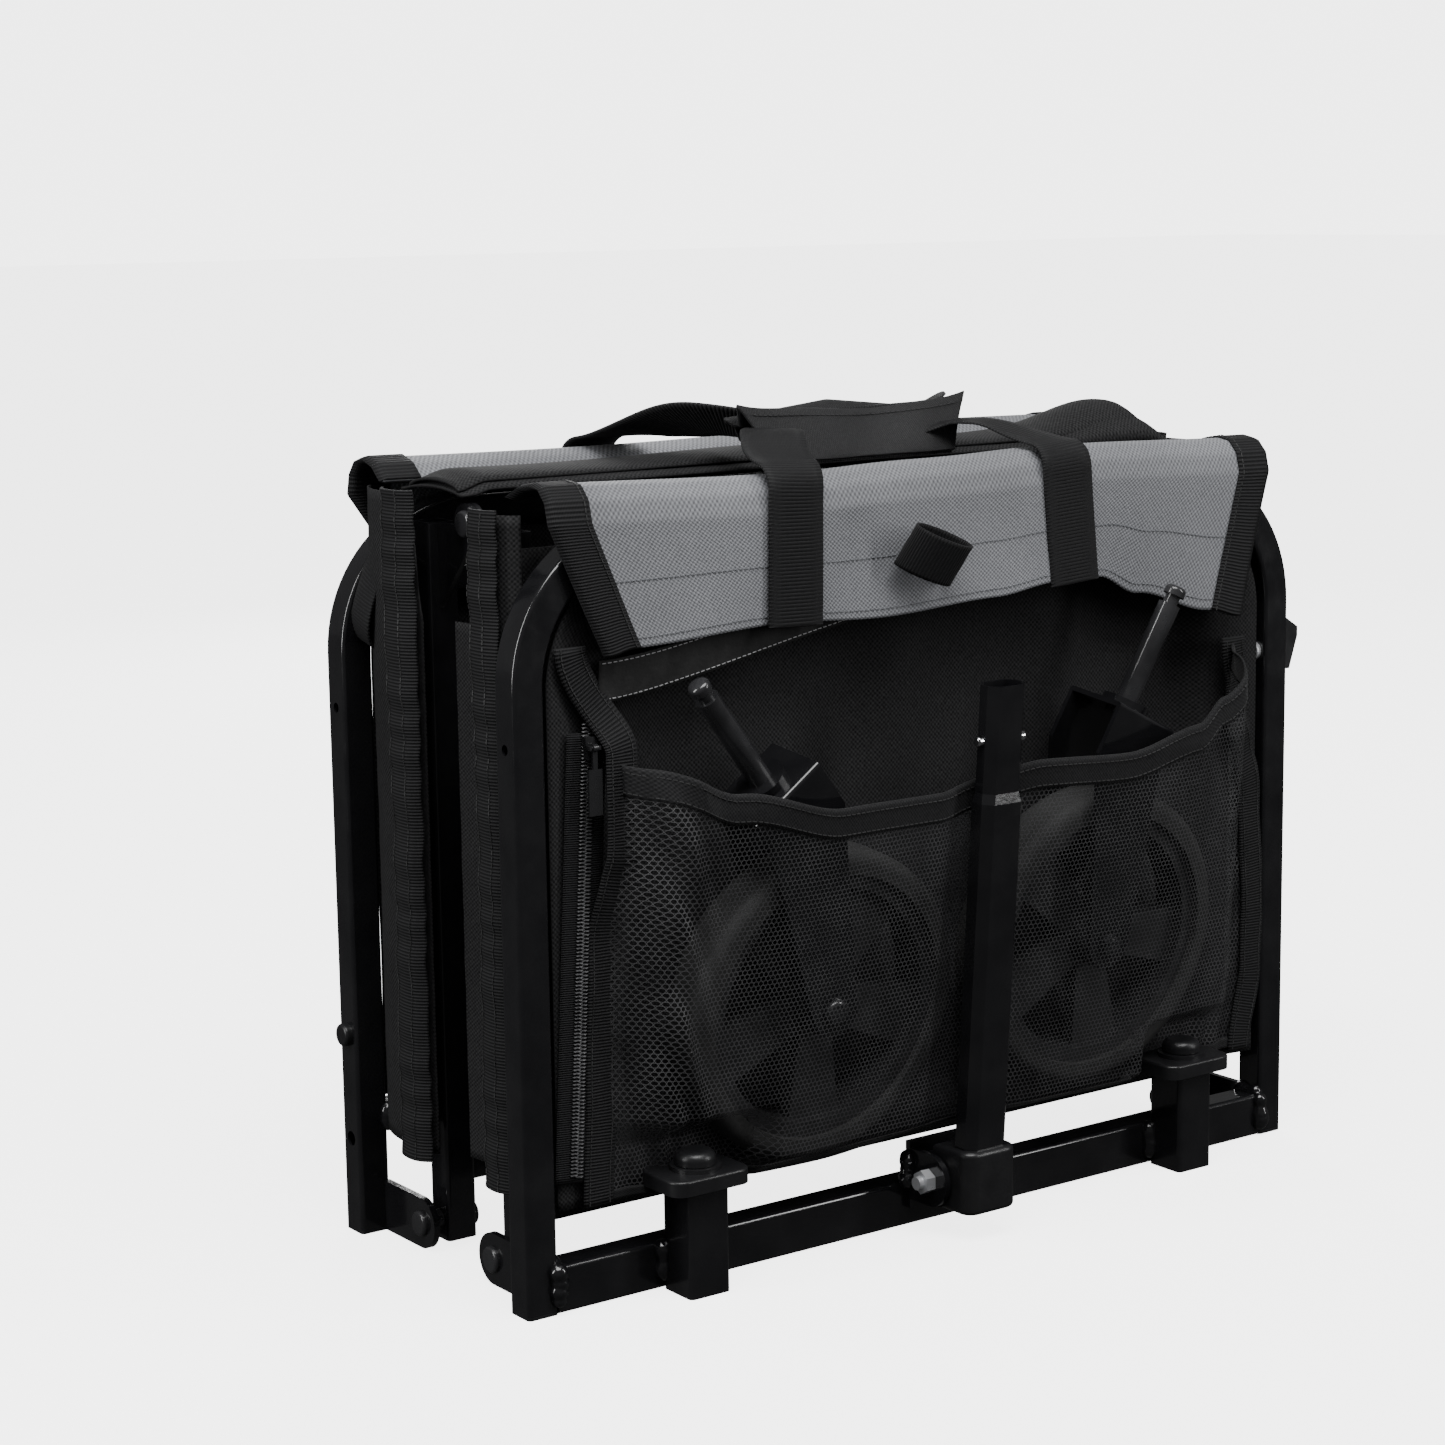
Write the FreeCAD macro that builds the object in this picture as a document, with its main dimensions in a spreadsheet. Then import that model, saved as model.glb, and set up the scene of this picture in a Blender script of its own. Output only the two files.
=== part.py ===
# Folding pet stroller, folded flat for storage: two square-tube hoops with a hinged floor folded up
# between them, a fabric tub, two front casters stowed in the front pocket and a pull pole.
# Frame: +Z up, X across the stroller, -Y its front. The origin is on the ground, in the middle.
import FreeCAD, Part
import math
import os
import re
import sys
import Sketcher

V = FreeCAD.Vector

SIZES = {
    # frame of square tube
    "tube": 20, "tube_wall": 1.5, "tube_corner": 2.5,
    "frame_width": 592, "frame_height": 447, "bend": 81,
    "front_face": -73, "frame_depth": 210,
    "bar_height": 28, "rear_bar_height": 13, "rear_bar_low": 65.5,
    "cap_flange": 2, "cap_plug": 12,
    # floor, folded up between the hoops
    "hinge_reach": 44, "hinge_rise": 16, "hinge_round": 15.5, "hinge_plate": 4,
    "pin_bore": 4, "running": 0.05, "rivet_head": 8, "rivet_crown": 3,
    "floor_half_width": 257, "floor_tube_low": 4, "floor_tube_top": 437,
    "centre_rise": 438, "centre_round": 12, "centre_plate": 3, "gusset_foot": 387,
    "cross_low": 46, "cross_high": 404, "cross_tube": 15,
    "mat_thick": 4, "mat_low": 34, "mat_high": 430,
    # caster sockets on the front crossbar and their latches
    "socket_x": 190.6, "socket_size": 28, "socket_top": 64, "stem_bore": 7.1,
    "latch_long": 54, "latch_deep": 40, "latch_high": 9, "knob_radius": 12, "knob_high": 9,
    # pull pole
    "bolt_y": -95, "bolt_z": 34, "bolt_radius": 4, "ear_round": 16, "ear_plate": 4,
    "collar_half": 20, "collar_back": 2, "collar_front": 31, "collar_low": 17, "collar_top": 56,
    "pole_lean": 4.3, "pole_offset": 16, "pole_wide": 31, "pole_deep": 20, "neck_wide": 28.5, "neck_deep": 17.5, "pole_chamfer": 5.5, "pole_wall": 1.6,
    "pole_start": 22, "neck_start": 270, "pole_end": 340, "button_rise": 307, "button_radius": 3,
    "button_out": 4,
    # casters
    "wheel_radius": 95, "tyre_thick": 14, "tyre_width": 34, "rim_width": 24, "rim_ring": 9,
    "hub_radius": 17, "hub_width": 39, "spoke_thick": 9, "axle_radius": 4, "spokes": 5,
    "fork_gap": 40, "fork_plate": 3, "fork_high": 136, "fork_trail": 50, "crown_half": 26,
    "fork_foot": 16, "stem_radius": 7, "stem_length": 82, "caster_lean": 7,
    "left_wheel_x": -99, "left_wheel_z": 155, "left_tilt": -38.4,
    "right_wheel_x": 115, "right_wheel_z": 163, "right_tilt": 26.3, "wheel_y": -78,
    # fabric tub and its straps
    "cloth": 2, "panel_low": 58, "panel_half": 272, "panel_top": 425, "panel_corner": 72,
    "pocket_top": 284, "pocket_out_low": 26, "pocket_out_top": 54, "flap_top": 464, "flap_thick": 3,
    "flap_low": 376, "flap_half_top": 257, "flap_half_low": 222,
    "rear_panel_low": 82, "rear_flap_top": 470, "rear_flap_half": 275, "rear_flap_low": 374,
    "webbing": 38, "strap_thick": 1.6, "left_strap_x": -107, "right_strap_x": 100,
    "side_x": 287, "side_thick": 8, "side_low": 70, "side_high": 450, "side_deep": 72,
    "wrap_left": -89, "wrap_right": 77, "wrap_low": 466, "wrap_high": 500,
    "canopy_low": 452, "canopy_high": 474,
    "keeper_x": -17, "keeper_wide": 44, "keeper_deep": 20, "keeper_low": 398, "keeper_high": 427,
    "hooks_low": 350, "hooks_high": 375,
    "zip_top_x": -248, "zip_top_z": 322, "zip_low_x": -262, "zip_low_z": 74,
}

doc = FreeCAD.newDocument("PetStroller")
sheet = doc.addObject("Spreadsheet::Sheet", "Dims")
for row, (alias, value) in enumerate(SIZES.items(), start=1):
    sheet.set(f"A{row}", alias)
    sheet.set(f"B{row}", str(value))
    sheet.setAlias(f"B{row}", alias)
doc.recompute()

nodes = {}


# ---------------------------------------------------------------- small helpers
def formula(text):
    """A formula in the sheet's words, written as FreeCAD reads it."""
    return re.sub(r"[a-z_]+", lambda m: f"Dims.{m.group(0)}" if m.group(0) in SIZES else m.group(0), str(text))


def size(text):
    """The value of a formula in the sheet's words."""
    total = 0.0
    for sign, term in re.findall(r"([+-]?)\s*([^+-]+)", str(text)):
        product = 1.0
        for step, factor in re.findall(r"([*/]?)\s*([a-z_0-9.]+)", term):
            number = SIZES[factor] if factor in SIZES else float(factor)
            product = product / number if step == "/" else product * number
        total += -product if sign == "-" else product
    return total


def point(*formulas):
    return V(*[size(text) for text in formulas])


def bind(thing, **formulas):
    """Bind properties to the sheet; a double underscore stands for a dot."""
    for name, text in formulas.items():
        thing.setExpression(name.replace("__", "."), formula(text))
    return thing


def place(thing, x, y, z):
    return bind(thing, Placement__Base__x=x, Placement__Base__y=y, Placement__Base__z=z)


def node(label, thing):
    """Give a finished sub-part its name."""
    thing.Label = label
    nodes[label] = thing
    return thing


TURN = {
    "x": FreeCAD.Rotation(V(0, 1, 0), 90),
    "y": FreeCAD.Rotation(V(1, 0, 0), -90),
    "z": FreeCAD.Rotation(),
}


def block(name, x, y, z, long, deep, high):
    """A box from its lowest corner and its three sizes."""
    thing = doc.addObject("Part::Box", name)
    bind(thing, Length=long, Width=deep, Height=high)
    return place(thing, x, y, z)


def rod(name, axis, x, y, z, radius, length):
    """A cylinder from the centre of its lower end."""
    thing = doc.addObject("Part::Cylinder", name)
    thing.Placement.Rotation = TURN[axis]
    bind(thing, Radius=radius, Height=length)
    return place(thing, x, y, z)


def fuse(name, things):
    thing = doc.addObject("Part::MultiFuse", name)
    thing.Shapes = things
    thing.Refine = True
    return thing


def cut(name, base, tools):
    thing = doc.addObject("Part::Cut", name)
    thing.Base = base
    thing.Tool = tools[0] if len(tools) == 1 else fuse(name + "_tools", tools)
    return thing


def group(name, things):
    """Separate like solids that share one node."""
    thing = doc.addObject("Part::Compound", name)
    thing.Links = things
    return thing


def rounded(name, base, radius, wanted):
    """Round the edges of a finished object for which wanted(edge) is true."""
    doc.recompute()
    thing = doc.addObject("Part::Fillet", name)
    thing.Base = base
    chosen = [n for n, edge in enumerate(base.Shape.Edges, start=1) if wanted(edge)]
    thing.Edges = [(n, size(radius), size(radius)) for n in chosen]
    return thing


def along(axis):
    """Picks the straight edges that run along an axis."""
    def wanted(edge):
        return edge.Curve.TypeId == "Part::GeomLine" and abs(edge.Curve.Direction.dot(axis)) > 0.999
    return wanted


def solid(name, shape):
    """A sub-part shaped with Part's own functions from the sheet's sizes."""
    thing = doc.addObject("Part::Feature", name)
    thing.Shape = shape
    return thing


def slab(outline, push):
    """A flat outline, closed and pushed along a vector."""
    return Part.Face(Part.makePolygon(outline + outline[:1])).extrude(push)


# ---------------------------------------------------------------- square tube
def origin_plane(body, role):
    return next(f for f in body.Origin.OriginFeatures if f.Role == role)


def new_sketch(body, name, role="XY_Plane"):
    sketch = body.newObject("Sketcher::SketchObject", name)
    sketch.AttachmentSupport = (origin_plane(body, role), [""])
    sketch.MapMode = "FlatFace"
    return sketch


def rounded_rectangle(sketch, across, up, corner, tag):
    """A centred rectangle with round corners, held by named constraints."""
    half_w, half_h, r = size(across) / 2, size(up) / 2, size(corner)
    centres = [V(half_w - r, half_h - r), V(r - half_w, half_h - r)]
    centres += [V(r - half_w, r - half_h), V(half_w - r, r - half_h)]
    sides = [V(1, 0), V(0, 1), V(-1, 0), V(0, -1)]
    first = sketch.GeometryCount
    for i in range(4):
        before, here, side = centres[i - 1], centres[i], sides[i] * r
        sketch.addGeometry(Part.LineSegment(before + side, here + side))
        circle = Part.Circle(here, V(0, 0, 1), r)
        sketch.addGeometry(Part.ArcOfCircle(circle, i * math.pi / 2, (i + 1) * math.pi / 2))
    for i in range(8):
        sketch.addConstraint(Sketcher.Constraint("Tangent", first + i, 2, first + (i + 1) % 8, 1))
    for i in range(4):
        kind = "Vertical" if i % 2 == 0 else "Horizontal"
        sketch.addConstraint(Sketcher.Constraint(kind, first + 2 * i))
    for i in (3, 5, 7):
        sketch.addConstraint(Sketcher.Constraint("Equal", first + 1, first + i))
    sketch.addConstraint(Sketcher.Constraint("Symmetric", first + 1, 3, first + 5, 3, -1, 1))
    named = (
        ("corner", Sketcher.Constraint("Radius", first + 1, r), corner),
        ("across", Sketcher.Constraint("DistanceX", first + 4, 1, first, 1, 2 * half_w), across),
        ("up", Sketcher.Constraint("DistanceY", first + 6, 1, first + 2, 1, 2 * half_h), up),
    )
    for name, constraint, text in named:
        index = sketch.addConstraint(constraint)
        sketch.renameConstraint(index, f"{tag}_{name}")
        sketch.setExpression(f"Constraints.{tag}_{name}", formula(text))


def tube_profile(sketch, across, up, corner):
    rounded_rectangle(sketch, across, up, corner, "outside")
    inner = f"{corner} - tube_wall / 2"
    rounded_rectangle(sketch, f"{across} - 2 * tube_wall", f"{up} - 2 * tube_wall", inner, "inside")


def straight_tube(name, axis, x, y, z, across, up, length, corner="tube_corner"):
    """A length of rectangular tube from the centre of its first end."""
    body = doc.addObject("PartDesign::Body", name)
    sketch = new_sketch(body, name + "_section")
    tube_profile(sketch, across, up, corner)
    doc.recompute()
    pad = body.newObject("PartDesign::Pad", name + "_length")
    pad.Profile = sketch
    bind(pad, Length=length)
    body.Placement.Rotation = TURN[axis]
    return place(body, x, y, z)


def hoop_path(body, name):
    """The hoop's centre line: up one leg, across the top and down the other."""
    path = new_sketch(body, name + "_path", "XZ_Plane")
    half, low, r = size("frame_width - tube") / 2, size("cap_flange"), size("bend")
    top = size("frame_height - tube / 2")
    left, right = V(r - half, top - r), V(half - r, top - r)
    path.addGeometry(Part.LineSegment(V(-half, low), V(-half, top - r)))
    path.addGeometry(Part.ArcOfCircle(Part.Circle(left, V(0, 0, 1), r), math.pi / 2, math.pi))
    path.addGeometry(Part.LineSegment(V(r - half, top), V(half - r, top)))
    path.addGeometry(Part.ArcOfCircle(Part.Circle(right, V(0, 0, 1), r), 0, math.pi / 2))
    path.addGeometry(Part.LineSegment(V(half, top - r), V(half, low)))
    rules = (("Tangent", 0, 2, 1, 2), ("Tangent", 1, 1, 2, 1), ("Tangent", 2, 2, 3, 2), ("Tangent", 3, 1, 4, 1),
             ("Vertical", 0), ("Vertical", 4), ("Horizontal", 2), ("Equal", 1, 3), ("Symmetric", 0, 1, 4, 2, -2))
    for rule in rules:
        path.addConstraint(Sketcher.Constraint(*rule))
    named = (
        ("radius", Sketcher.Constraint("Radius", 1, r), "bend"),
        ("width", Sketcher.Constraint("DistanceX", 0, 1, 4, 2, 2 * half), "frame_width - tube"),
        ("low", Sketcher.Constraint("DistanceY", -1, 1, 0, 1, low), "cap_flange"),
        ("top", Sketcher.Constraint("DistanceY", -1, 1, 2, 1, top), "frame_height - tube / 2"),
    )
    for tag, constraint, text in named:
        path.renameConstraint(path.addConstraint(constraint), tag)
        path.setExpression(f"Constraints.{tag}", formula(text))
    return path


def hoop(name, y_centre):
    """An upside-down U bent from one length of square tube."""
    body = doc.addObject("PartDesign::Body", name)
    path = hoop_path(body, name)
    section = new_sketch(body, name + "_section")
    tube_profile(section, "tube", "tube", "tube_corner")
    bind(section, AttachmentOffset__Base__x="tube / 2 - frame_width / 2", AttachmentOffset__Base__z="cap_flange")
    doc.recompute()
    pipe = body.newObject("PartDesign::AdditivePipe", name + "_bend")
    pipe.Profile = section
    pipe.Spine = (path, [f"Edge{i}" for i in range(1, 6)])
    return place(body, 0, y_centre, 0)


# ---------------------------------------------------------------- hoops and crossbars
FRONT_Y = "front_face + tube / 2"
REAR_Y = "front_face + frame_depth - tube / 2"
LEG_HOLE_RISE = 324
AXLE_HOLE_RISE = 58.6
LEG_HOLE_RADIUS = 3
AXLE_HOLE_RADIUS = 4.5


def leg_bores(name, y_centre, z, radius):
    """A hole straight through both legs, along X."""
    return rod(name, "x", "0 - frame_width / 2 - 5", y_centre, z, radius, "frame_width + 10")


def leg_caps(name, y_centre):
    """Plastic plugs that close the feet of a hoop, flange down."""
    caps = []
    for side in (-1, 1):
        x = f"{side} * frame_width / 2 - {side} * tube / 2"
        flange = block(f"{name}_flange{side}", f"{x} - tube / 2", f"{y_centre} - tube / 2", 0,
                       "tube", "tube", "cap_flange")
        flange = rounded(f"{name}_round{side}", flange, "tube_corner", along(V(0, 0, 1)))
        plug = block(f"{name}_plug{side}", f"{x} - tube / 2 + tube_wall + 1", f"{y_centre} - tube / 2 + tube_wall + 1",
                     "cap_flange", "tube - 2 * tube_wall - 2", "tube - 2 * tube_wall - 2", "cap_plug")
        caps.append(fuse(f"{name}_cap{side}", [flange, plug]))
    return node(name, group(name, caps))


def make_hoops():
    front = hoop("front_hoop_tube", FRONT_Y)
    pinned = leg_bores("front_leg_hole", FRONT_Y, LEG_HOLE_RISE, LEG_HOLE_RADIUS)
    node("front_hoop", cut("front_hoop", front, [pinned]))
    rear = hoop("rear_hoop_tube", REAR_Y)
    holes = [leg_bores("rear_leg_hole", REAR_Y, LEG_HOLE_RISE, LEG_HOLE_RADIUS),
             leg_bores("rear_axle_hole", REAR_Y, AXLE_HOLE_RISE, AXLE_HOLE_RADIUS),
             rod("rear_plug_hole", "x", "0 - frame_width / 2 - 5", REAR_Y, PLUG_RISE, PLUG_STEM, "tube + 5")]
    node("rear_hoop", cut("rear_hoop", rear, holes))
    leg_caps("front_leg_caps", FRONT_Y)
    leg_caps("rear_leg_caps", REAR_Y)


def make_crossbars():
    span, start = "frame_width - 2 * tube", "tube - frame_width / 2"
    front = straight_tube("front_crossbar", "x", start, FRONT_Y, "bar_height / 2", "bar_height", "tube", span)
    node("front_crossbar", front)
    node("rear_crossbar", straight_tube("rear_crossbar", "x", start, REAR_Y, "rear_bar_low + rear_bar_height / 2",
                                        "rear_bar_height", "tube", span))


PLUG_RISE = 124
PLUG_STEM = 3.5


def make_leg_plug():
    """A push-in mushroom plug in the side of the rear left leg."""
    head = rod("plug_head", "x", "0 - frame_width / 2 - 5", REAR_Y, PLUG_RISE, 7, 5)
    head = rounded("plug_dome", head, 2, lambda edge: edge.BoundBox.XMax < -size("frame_width / 2") - 4)
    stem = rod("plug_stem", "x", "0 - frame_width / 2", REAR_Y, PLUG_RISE, PLUG_STEM, 10)
    node("rear_leg_plug", fuse("rear_leg_plug", [head, stem]))


# ---------------------------------------------------------------- folding floor
PLATE_X = "frame_width / 2 - tube"
HINGE_Y = {"front": "front_face + tube + hinge_reach", "rear": "front_face + frame_depth - tube - hinge_reach"}
LEG_SIDE_Y = {"front": "front_face + tube", "rear": "front_face + frame_depth - tube"}
CENTRE_Y = "front_face + frame_depth / 2"


def hinge_plate(name, end, side):
    """A steel lug welded to a leg's inner side, round about the hinge pin."""
    x = "frame_width / 2 - tube" if side > 0 else "tube - frame_width / 2 - hinge_plate"
    y_low = LEG_SIDE_Y[end] if end == "front" else HINGE_Y[end]
    bar = block(name + "_bar", x, y_low, "hinge_rise - hinge_round", "hinge_plate", "hinge_reach", "2 * hinge_round")
    eye = rod(name + "_eye", "x", x, HINGE_Y[end], "hinge_rise", "hinge_round", "hinge_plate")
    hole = rod(name + "_hole", "x", f"{x} - 1", HINGE_Y[end], "hinge_rise", "pin_bore", "hinge_plate + 2")
    return cut(name, fuse(name + "_blank", [bar, eye]), [hole])


def crowned_rivet(name, side, x_inner, x_outer, y, z, shoulder=None):
    """A rivet along X from x_inner to x_outer (distances from the middle), with two low crowned heads."""
    low, high = sorted((side * size(x_inner), side * size(x_outer)))
    shank = rod(name + "_shank", "x", low, y, z, "pin_bore", high - low)
    parts = [shank]
    for tag, start in (("a", low - size("rivet_crown")), ("b", high)):
        head = rod(f"{name}_head_{tag}", "x", start, y, z, "rivet_head", "rivet_crown")
        outer = start if tag == "a" else start + size("rivet_crown")
        parts.append(rounded(f"{name}_crown_{tag}", head, 2, at_x(outer)))
    if shoulder:
        a, b = sorted((side * size(shoulder[0]), side * size(shoulder[1])))
        parts.append(rod(name + "_shoulder", "x", a, y, z, "1.6 * pin_bore", b - a))
    return fuse(name, parts)


def at_x(x):
    return lambda edge: abs(edge.BoundBox.XMin - x) < 0.01 and abs(edge.BoundBox.XMax - x) < 0.01


def make_leg_hinges(end):
    plates, pins = [], []
    for side in (-1, 1):
        plates.append(hinge_plate(f"{end}_plate{side}", end, side))
        tube_outer = "floor_half_width + tube / 2 + 0.3"
        pins.append(crowned_rivet(f"{end}_pin{side}", side, "floor_half_width - tube / 2 - 0.3",
                                  PLATE_X + " + hinge_plate",
                                  HINGE_Y[end], "hinge_rise", (tube_outer, PLATE_X)))
    node(f"{end}_hinge_plates", group(f"{end}_hinge_plates", plates))
    node(f"{end}_hinge_pins", group(f"{end}_hinge_pins", pins))


def floor_frame(end):
    """One half of the floor: two side tubes and two cross tubes, bored for the leg hinges."""
    y = HINGE_Y[end]
    parts = []
    for side in (-1, 1):
        parts.append(straight_tube(f"{end}_floor_side{side}", "z", f"{side} * floor_half_width", y, "floor_tube_low",
                                   "tube", "tube", "floor_tube_top - floor_tube_low"))
    for z in ("cross_low", "cross_high"):
        parts.append(straight_tube(f"{end}_floor_{z}", "x", "tube / 2 - floor_half_width", y, z,
                                   "cross_tube", "cross_tube", "2 * floor_half_width - tube", 2))
    bore = rod(f"{end}_floor_bore", "x", "0 - floor_half_width - tube", y, "hinge_rise", "pin_bore + running",
               "2 * floor_half_width + 2 * tube")
    node(f"{end}_floor_frame", cut(f"{end}_floor_frame", fuse(f"{end}_floor_welded", parts), [bore]))


def centre_gusset(name, end, side, x_low):
    """A flag-shaped plate on a side tube's inner face that carries the centre hinge."""
    away = 1 if end == "rear" else -1
    face = size(HINGE_Y[end]) - away * size("tube") / 2
    pivot_y, pivot_z, r = size(CENTRE_Y), size("centre_rise"), size("centre_round")
    top = size("floor_tube_top")
    foot = V(x_low, face, size("gusset_foot"))
    lower = V(x_low, pivot_y - away * r * 0.5, pivot_z - r * math.sqrt(0.75))
    outline = [foot, lower, V(x_low, pivot_y, pivot_z), V(x_low, pivot_y, top), V(x_low, face, top)]
    flag = slab(outline, V(size("centre_plate"), 0, 0))
    eye = Part.makeCylinder(r, size("centre_plate"), V(x_low, pivot_y, pivot_z), V(1, 0, 0))
    bore = size("pin_bore") + (size("running") if end == "front" else 0)
    hole = Part.makeCylinder(bore, 3 * size("centre_plate"), V(x_low - 3, pivot_y, pivot_z), V(1, 0, 0))
    return solid(name, flag.fuse(eye).removeSplitter().cut(hole))


def make_centre_hinges():
    gap, plate = 0.5, size("centre_plate")
    for end in ("rear", "front"):
        plates = []
        for side in (-1, 1):
            # the rear flag is the outer one of the pair on either side
            reach = size("floor_half_width") + (gap / 2 if end == "rear" else -gap / 2 - plate)
            x_low = reach if side > 0 else -reach - plate
            plates.append(centre_gusset(f"{end}_flag{side}", end, side, x_low))
        node(f"{end}_centre_plates", group(f"{end}_centre_plates", plates))
    pins = [crowned_rivet(f"centre_pin{side}", side, "floor_half_width - centre_plate - 0.6",
                          "floor_half_width + centre_plate + 0.25", CENTRE_Y, "centre_rise") for side in (-1, 1)]
    node("centre_pins", group("centre_pins", pins))


def make_floor_mats():
    """Stiffened floor cloth on each half's upper side when the floor is down."""
    for end, away in (("rear", 1), ("front", -1)):
        face = size(HINGE_Y[end]) + away * (size("tube") / 2 + 0.3)
        y_low = face if away > 0 else face - size("mat_thick")
        half = size("floor_half_width + tube / 2") - 1
        low = size("mat_low")
        mat = Part.makeBox(2 * half, size("mat_thick"), size("mat_high") - low, V(-half, y_low, low))
        node(f"{end}_floor_mat", solid(f"{end}_floor_mat", mat))


# ---------------------------------------------------------------- caster sockets and latches
def make_sockets():
    sockets, bushes, housings = [], [], []
    for side in (-1, 1):
        x, y = f"{side} * socket_x", "front_face - socket_size / 2"
        sockets.append(straight_tube(f"socket{side}", "z", x, y, 0, "socket_size", "socket_size", "socket_top", 3))
        inner = "socket_size - 2 * tube_wall"
        core = block(f"bush_core{side}", f"{x} - socket_size / 2 + tube_wall", f"{y} - socket_size / 2 + tube_wall", 1,
                     inner, inner, "socket_top - 1")
        core = rounded(f"bush_round{side}", core, 2.3, along(V(0, 0, 1)))
        bore = rod(f"bush_bore{side}", "z", x, y, 0, "stem_bore", "socket_top - 4")
        bushes.append(cut(f"bush{side}", core, [bore]))
        housings.append(latch_housing(side, x, y))
        latch_knob(side, x, y)
    node("caster_sockets", group("caster_sockets", sockets))
    node("socket_bushes", group("socket_bushes", bushes))
    node("latch_housings", group("latch_housings", housings))


def latch_housing(side, x, y):
    """A moulded cap over the socket, bored for its release plunger."""
    plate = block(f"latch_plate{side}", f"{x} - latch_long / 2", f"{y} - latch_deep / 2", "socket_top",
                  "latch_long", "latch_deep", "latch_high")
    plate = rounded(f"latch_corners{side}", plate, 9, along(V(0, 0, 1)))
    plate_top = size("socket_top + latch_high")
    plate = rounded(f"latch_edge{side}", plate, 1.5, lambda edge: edge.BoundBox.ZMin > plate_top - 0.1)
    ring = rod(f"latch_ring{side}", "z", x, y, "socket_top + latch_high", "knob_radius + 3", 2.5)
    hole = rod(f"latch_hole{side}", "z", x, y, "socket_top + 1", "knob_radius / 2 + running", "latch_high + 4")
    return cut(f"latch_housing{side}", fuse(f"latch_blank{side}", [plate, ring]), [hole])


def latch_knob(side, x, y):
    """The release knob: a domed button on a plunger, pulled up against its spring."""
    base = "socket_top + latch_high + 3"
    head = rod(f"knob_head{side}", "z", x, y, base, "knob_radius", "knob_high - 1")
    dome_low = size(base + " + knob_high") - 1.1
    head = rounded(f"knob_dome{side}", head, 5, lambda edge: edge.BoundBox.ZMin > dome_low)
    plunger = rod(f"knob_plunger{side}", "z", x, y, "socket_top + 2", "knob_radius / 2", "latch_high + 2")
    name = "latch_knob_left" if side < 0 else "latch_knob_right"
    node(name, fuse(name, [head, plunger]))


# ---------------------------------------------------------------- pull pole
def make_clevis():
    """Two ears and a back plate, bent from one strip and welded to the crossbar."""
    back = block("clevis_back", "0 - collar_half - 1 - ear_plate", "front_face - ear_plate", "bolt_z - ear_round - 6",
                 "2 * collar_half + 2 + 2 * ear_plate", "ear_plate", "2 * ear_round + 10")
    parts = [back]
    for side in (-1, 1):
        x = "collar_half + 1" if side > 0 else "0 - collar_half - 1 - ear_plate"
        parts.append(block(f"ear_arm{side}", x, "bolt_y", "bolt_z - ear_round", "ear_plate",
                           "front_face - bolt_y - ear_plate / 2", "2 * ear_round"))
        parts.append(rod(f"ear_round{side}", "x", x, "bolt_y", "bolt_z", "ear_round", "ear_plate"))
    hole = rod("ear_hole", "x", "0 - collar_half - 10", "bolt_y", "bolt_z", "bolt_radius", "2 * collar_half + 20")
    node("pole_clevis", cut("pole_clevis", fuse("clevis_blank", parts), [hole]))


def make_clevis_bolt():
    """The pole's pivot bolt, head on the right and a lock nut on the left."""
    start = "0 - collar_half - 1 - ear_plate - 10"
    shank = rod("bolt_shank", "x", start, "bolt_y", "bolt_z", "bolt_radius", "2 * collar_half + 12 + 2 * ear_plate")
    head = rod("bolt_head", "x", "collar_half + 1 + ear_plate", "bolt_y", "bolt_z", "2 * bolt_radius", 4)
    head = rounded("bolt_crown", head, 2, at_x(size("collar_half + 1 + ear_plate") + 4))
    nut = doc.addObject("Part::Prism", "bolt_nut")
    nut.Polygon = 6
    nut.Placement.Rotation = TURN["x"]
    bind(nut, Circumradius="1.85 * bolt_radius", Height=6.5)
    place(nut, "0 - collar_half - 1 - ear_plate - 6.5", "bolt_y", "bolt_z")
    node("clevis_bolt", fuse("clevis_bolt", [shank, head, nut]))


def pole_turn():
    return FreeCAD.Rotation(V(1, 0, 0), size("pole_lean"))


def octagon(part, inset, z):
    """A flattened eight-sided outline about the pole's own axis: a rectangle with cut corners."""
    x, y, corner = size(part + "_wide / 2") - inset, size(part + "_deep / 2") - inset, size("pole_chamfer")
    # an inset corner keeps its wall as thick as the flats do
    corner -= inset * (2 - math.sqrt(2))
    front = [V(x, y - corner, z), V(x - corner, y, z), V(corner - x, y, z), V(-x, y - corner, z)]
    back = [V(-p.x, -p.y, z) for p in front]
    return Part.makePolygon(front + back + front[:1])


def octagon_bar(part, inset, low, high):
    return Part.Face(octagon(part, inset, low)).extrude(V(0, 0, high - low))


def pole_body(shape):
    """Lean a shape made about the pole's own axis, and set it in front of the bolt."""
    base = V(0, size("bolt_y - pole_offset"), size("bolt_z"))
    moved = shape.copy()
    moved.Placement = FreeCAD.Placement(base, pole_turn())
    return moved


def make_pole():
    """Flattened eight-sided steel tube, swaged smaller at its upper end to take the handle tube."""
    drop = size("bolt_z")
    low, shoulder, top = size("pole_start") - drop, size("neck_start") - drop, size("pole_end") - drop
    taper = 6
    solids = []
    for inset in (0, size("pole_wall")):
        shaft = octagon_bar("pole", inset, low, shoulder)
        cone = Part.makeLoft([octagon("pole", inset, shoulder), octagon("neck", inset, shoulder + taper)], True, True)
        neck = octagon_bar("neck", inset, shoulder + taper, top)
        solids.append(shaft.fuse([cone, neck]).removeSplitter())
    rise, wide = size("button_rise") - drop, size("pole_wide")
    hole = Part.makeCylinder(size("button_radius + running"), 2 * wide, V(-wide, 0, rise), V(1, 0, 0))
    tube = solids[0].cut(solids[1]).cut(hole)
    node("pole_tube", solid("pole_tube", pole_body(tube)))


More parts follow.
